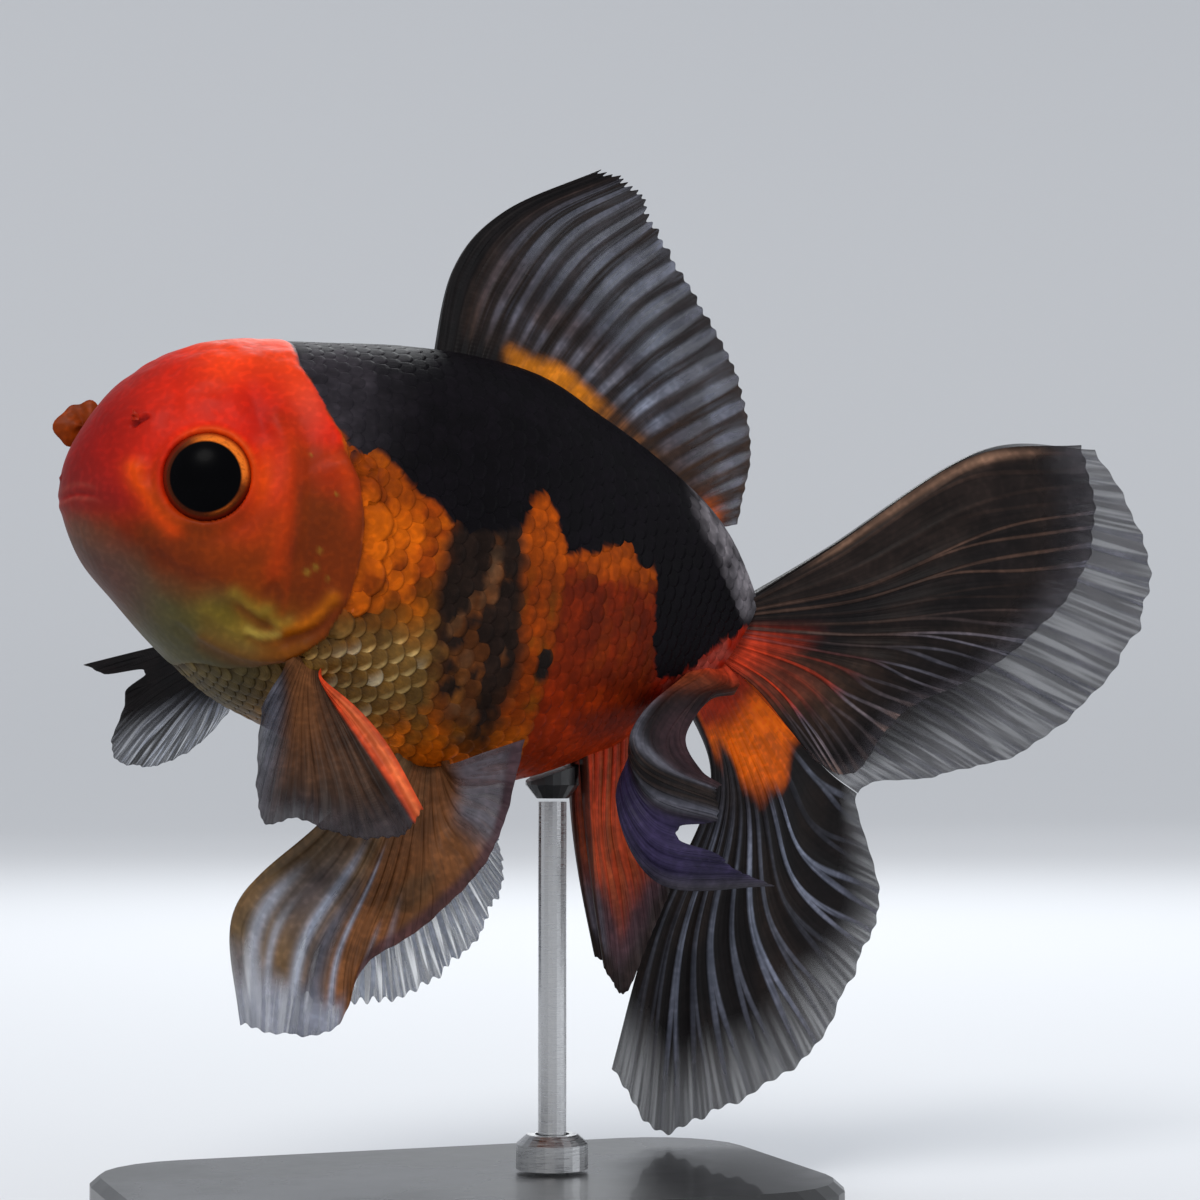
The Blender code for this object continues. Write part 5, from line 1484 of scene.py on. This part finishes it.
def makeFin(name, plan):
    along, across = finMesh["along"], plan["rays"] * finMesh["perRay"]
    t, v = np.linspace(0, 1, along + 1), np.linspace(0, 1, across + 1)
    u = t[:, None] * finReach(name, plan, v)[None, :]
    vs = v[None, :] + 0 * u
    grid = finSheet(plan, u, v)
    down, over = np.gradient(grid, axis=0), np.gradient(grid, axis=1)
    normal = np.cross(down, over)
    normal /= np.maximum(np.linalg.norm(normal, axis=-1, keepdims=True), 1e-9)
    spread = np.linalg.norm(over, axis=-1) * across
    # folds between rays, and slow waves that grow outwards
    slow = np.array([noise.noise(Vector((a * 3, 0, 4))) for a in v * 3.5])[None, :]
    fold = plan["ripple"] * np.cos(2 * math.pi * plan["rays"] * v)[None, :] * soft(0.15, 1, u)
    fold = fold + 0.9 * slow * soft(0.35, 1, u) * min(1, plan["ripple"] * 5)
    # thickness, with a ridge at each ray and a stout rod for the leading one
    cell = (v * plan["rays"]) % 1 - 0.5
    ridge = np.exp(-((np.abs(cell)[None, :] * spread / plan["rays"] / 0.32) ** 2))
    ridge = ridge * (1 - 0.7 * soft(0.5, 0.9, u))
    half = finMesh["edgeHalf"] + (finMesh["rootHalf"] - finMesh["edgeHalf"]) * (1 - soft(0, 0.35, u))
    half = half + 0.1 * ridge * (1 - soft(0.7, 1, u))
    rod = plan["leading"] * np.exp(-((vs * spread / (plan["leading"] * 1.5)) ** 2))
    half = (half + rod * (1 - 0.75 * soft(0.25, 1, u))) * (1 - 0.55 * soft(0.97, 1, t)[:, None])
    sides = [grid + normal * (fold + half)[..., None], grid + normal * (fold - half)[..., None]]
    points = np.concatenate([sheet.reshape(-1, 3) for sheet in sides])

    def twice(values):
        return np.concatenate([values.reshape(u.size, -1)] * 2)

    # clouds over the fin, longer along it
    slowNoise = cloud(np.stack([u, vs, 0 * u + len(name) * 1.7], -1), (1 / 3, 1 / 4, 1))
    look = paintFin(plan["look"], u, vs, slowNoise)
    floats = {"along": u, "across": vs, "spread": spread, "cover": look.cover, "plain": look.plain}
    floats = {label: twice(values) for label, values in floats.items()}
    colours = {"membrane": twice(look.membrane.colour), "ray": twice(look.rays.colour)}
    material = makeFinMaterial(name, plan, look.cover.min() < 0.99)
    made = addPiece("fish_" + name, points, finFaces(points, along, across), material, floats, colours)
    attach(made, "root")
    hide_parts(name)
    return made


for name, plan in finPlans.items():
    plan = {**finDefaults, **plan}
    finPiece = makeFin(name, plan)
    print("fin made:", name, len(finPiece.data.polygons), "faces")


# soft lobed flaps on the nostrils
flapPlans = {
    "right": {
        "root": (2.5, 5.2, 7.9), "out": (-0.98, 0.16, 0.06), "length": 3.5, "height": 3, "lobes": 3,
        "turn": 0.5, "name": "farFlap", "low": (0.1, 0.012, 0.001), "high": (0.2, 0.03, 0.001),
        "slot": "skin_orange",
    },
    "left": {
        "root": (3.75, -5.95, 7.95), "out": (0.3, -0.6, 0.55), "length": 0.55, "height": 0.8, "lobes": 2,
        "turn": 0, "name": "nearFlap", "low": (0.34, 0.01, 0.003), "high": (0.45, 0.02, 0.004),
        "slot": "skin_red",
    },
}


def makeFlapMaterial(plan):
    made, tree, shader = newMaterial(plan["name"])
    colour = mix(addAttribute(tree, "outward"), plan["low"], plan["high"])
    height = addLiving(tree, shader, {"Colour": colour, "Clouding": 0.5, "Pores": 0.5, "Roughness": 0.42})
    setShader(shader, {
        "Normal": addBump(height, 0.0002, 0.8),
        "Coat Weight": 0.03, "Coat Roughness": 0.3, "Specular IOR Level": 0.06,
    })
    return made


def makeFlap(word, plan):
    out = np.array(plan["out"]) / np.linalg.norm(plan["out"])
    up = np.array([0.05, 0.0, 1.0])
    up -= out * (up @ out)
    up /= np.linalg.norm(up)
    thick = np.cross(out, up)
    rings, around, length, height = 26, 56, plan["length"], plan["height"]
    gt, gp = ringGrid(rings, around)
    across, rise = np.sin(gt) * np.cos(gp), np.sin(gt) * np.sin(gp)
    direction, away = np.arctan2(rise, across), np.hypot(across, rise)
    lobes = 1 + 0.15 * np.cos(plan["lobes"] * direction + plan["turn"]) * np.sin(gt)
    lobes *= 1 + 0.06 * np.cos(7 * direction + 1) * np.sin(gt)
    a = across * lobes * length * 0.62 + length * 0.28
    b = rise * lobes * height * (0.72 + 0.22 * across)
    width = (0.42 + 0.16 * np.cos(3 * direction)) * (1 - 0.35 * away**2) * min(1.6, height) / 1.6
    w = np.cos(gt) * width + 0.18 * np.sin(2.2 * direction) * away
    root = np.array(plan["root"])
    middle = root + out * length * 0.28
    points = root + a[..., None] * out + b[..., None] * up + w[..., None] * thick
    flat = np.concatenate([points.reshape(-1, 3), [middle + thick * 0.42, middle - thick * 0.42]])
    outward = [*soft(-0.4, 1, away + 0.3 * across).ravel(), 0.3, 0.3]
    faces = closedFaces(flat, rings - 1, around)
    made = addPiece("nostril_leaf_" + word, flat, faces, makeFlapMaterial(plan), {"outward": outward})
    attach(made, "root")
    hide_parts("nostril_flap_" + word)


for word, plan in flapPlans.items():
    makeFlap(word, plan)
print("nostril flaps made")


# the stand keeps the frame's own pieces, with better finishes
def makeLacquer():
    made, tree, shader = newMaterial("blackLacquer")
    wipe, dust = addNoise(tree, 60, 4), addNoise(tree, 900, 2)
    setShader(shader, {
        "Base Color": mix(ramp(dust, 0.62, 0.8, 0, 0.5), (0.014, 0.014, 0.015), (0.05, 0.05, 0.05)),
        "Roughness": ramp(wipe, 0.35, 0.7, 0.22, 0.38), "Normal": addBump(wipe, 0.00005, 0.3),
        "Coat Weight": 0.2,
    })
    return made


def makeSteel():
    made, tree, shader = newMaterial("brushedSteel")
    stretch = addNode("ShaderNodeMapping", objectPlace(tree))
    stretch.inputs["Scale"].default_value = (1, 1, 14)
    brushed = addNoise(tree, 700, 3, wire(stretch.outputs[0]))
    setShader(shader, {
        "Base Color": mix(brushed, (0.38, 0.38, 0.39), (0.62, 0.62, 0.62)), "Metallic": 1,
        "Roughness": ramp(brushed, 0.3, 0.7, 0.24, 0.42), "Normal": addBump(brushed, 0.00002, 0.5),
    })
    return made


lacquer, steel = makeLacquer(), makeSteel()
for name, finish in (("base", lacquer), ("rest", lacquer), ("collar", steel), ("rod", steel)):
    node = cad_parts["stand_" + name]
    node.data.materials.clear()
    node.data.materials.append(finish)
print("stand finished")


# floor, light and camera
studio = {
    "azimuth": -20, "elevation": -3, "lens": 85, "distance": 0.255, "look": (48.7, 0, 0),
    "floorSize": 6, "wall": 2.6, "bend": 1.4, "wallHeight": 3, "fade": (0.3, 1.7),
    "floorNear": (0.7, 0.715, 0.74), "floorFar": (0.5, 0.515, 0.54),
    "sky": (0.8, 0.83, 0.88), "skyStrength": 0.72,
    "sun": 1.5, "sunWidth": 24, "sunTint": (1, 0.98, 0.95), "sunWay": (0.5, 0.72, -0.86),
    # disc lights: name, place from the fish, size, power and tint
    "discs": (
        ("fillLight", (0.55, -0.4, 0.1), 0.45, 0.9, (0.92, 0.96, 1)),
        ("backLight", (0.2, 0.5, 0.42), 0.3, 1.6, (0.95, 0.98, 1)),
    ),
}


def addFloor():
    # a pale floor that rises behind into a wall, a little greyer as it goes back
    made, tree, shader = newMaterial("paleFloor")
    away = ramp(wire(addNode("ShaderNodeSeparateXYZ", objectPlace(tree)).outputs["Y"]), *studio["fade"])
    setShader(shader, {"Base Color": mix(away, studio["floorNear"], studio["floorFar"]), "Roughness": 0.8})
    half, back, bend = studio["floorSize"] / 2, studio["wall"], studio["bend"]
    turn = np.linspace(0, math.pi / 2, 25)
    line = [(-half, 0), (back - bend, 0)]
    line += [(back - bend + bend * math.sin(t), bend - bend * math.cos(t)) for t in turn[1:]]
    line.append((back, studio["wallHeight"]))
    points = [(x, y, z) for y, z in line for x in (-half, half)]
    mesh = bpy.data.meshes.new("floor")
    mesh.from_pydata(points, [], [(2 * k, 2 * k + 1, 2 * k + 3, 2 * k + 2) for k in range(len(line) - 1)])
    mesh.materials.append(made)
    mesh.shade_smooth()
    addObject("floor", mesh)


def addLight(name, kind, power, tint, way):
    light = bpy.data.lights.new(name, kind)
    light.energy, light.color = power, tint
    made = addObject(name, light)
    made.rotation_euler = Vector(way).to_track_quat("-Z", "Y").to_euler()
    return made


def addStudio():
    addFloor()
    centre = Vector(toRow(studio["look"]))
    key = addLight("keyLight", "SUN", studio["sun"], studio["sunTint"], studio["sunWay"])
    key.data.angle = math.radians(studio["sunWidth"])
    for name, away, size, power, tint in studio["discs"]:
        place = centre + Vector(away)
        disc = addLight(name, "AREA", power, tint, centre - place)
        disc.data.shape, disc.data.size, disc.location = "DISK", size, place
    world = bpy.data.worlds.new("paleRoom")
    world.use_nodes = True
    sky = world.node_tree.nodes["Background"].inputs
    sky[0].default_value, sky[1].default_value = (*studio["sky"], 1), studio["skyStrength"]
    scene.world = world
    a, e = math.radians(studio["azimuth"]), math.radians(studio["elevation"])
    back = Vector((math.sin(a) * math.cos(e), -math.cos(a) * math.cos(e), math.sin(e)))
    camera = bpy.data.cameras.new("camera")
    camera.lens, camera.sensor_width = studio["lens"], 36.0
    camera.clip_start, camera.clip_end = 0.01, 20.0
    scene.camera = addObject("camera", camera)
    scene.camera.location = centre + back * studio["distance"]
    scene.camera.rotation_mode = "QUATERNION"
    scene.camera.rotation_quaternion = (-back).to_track_quat("-Z", "Y")
    scene.view_settings.view_transform = "Standard"


addStudio()
print("studio set")
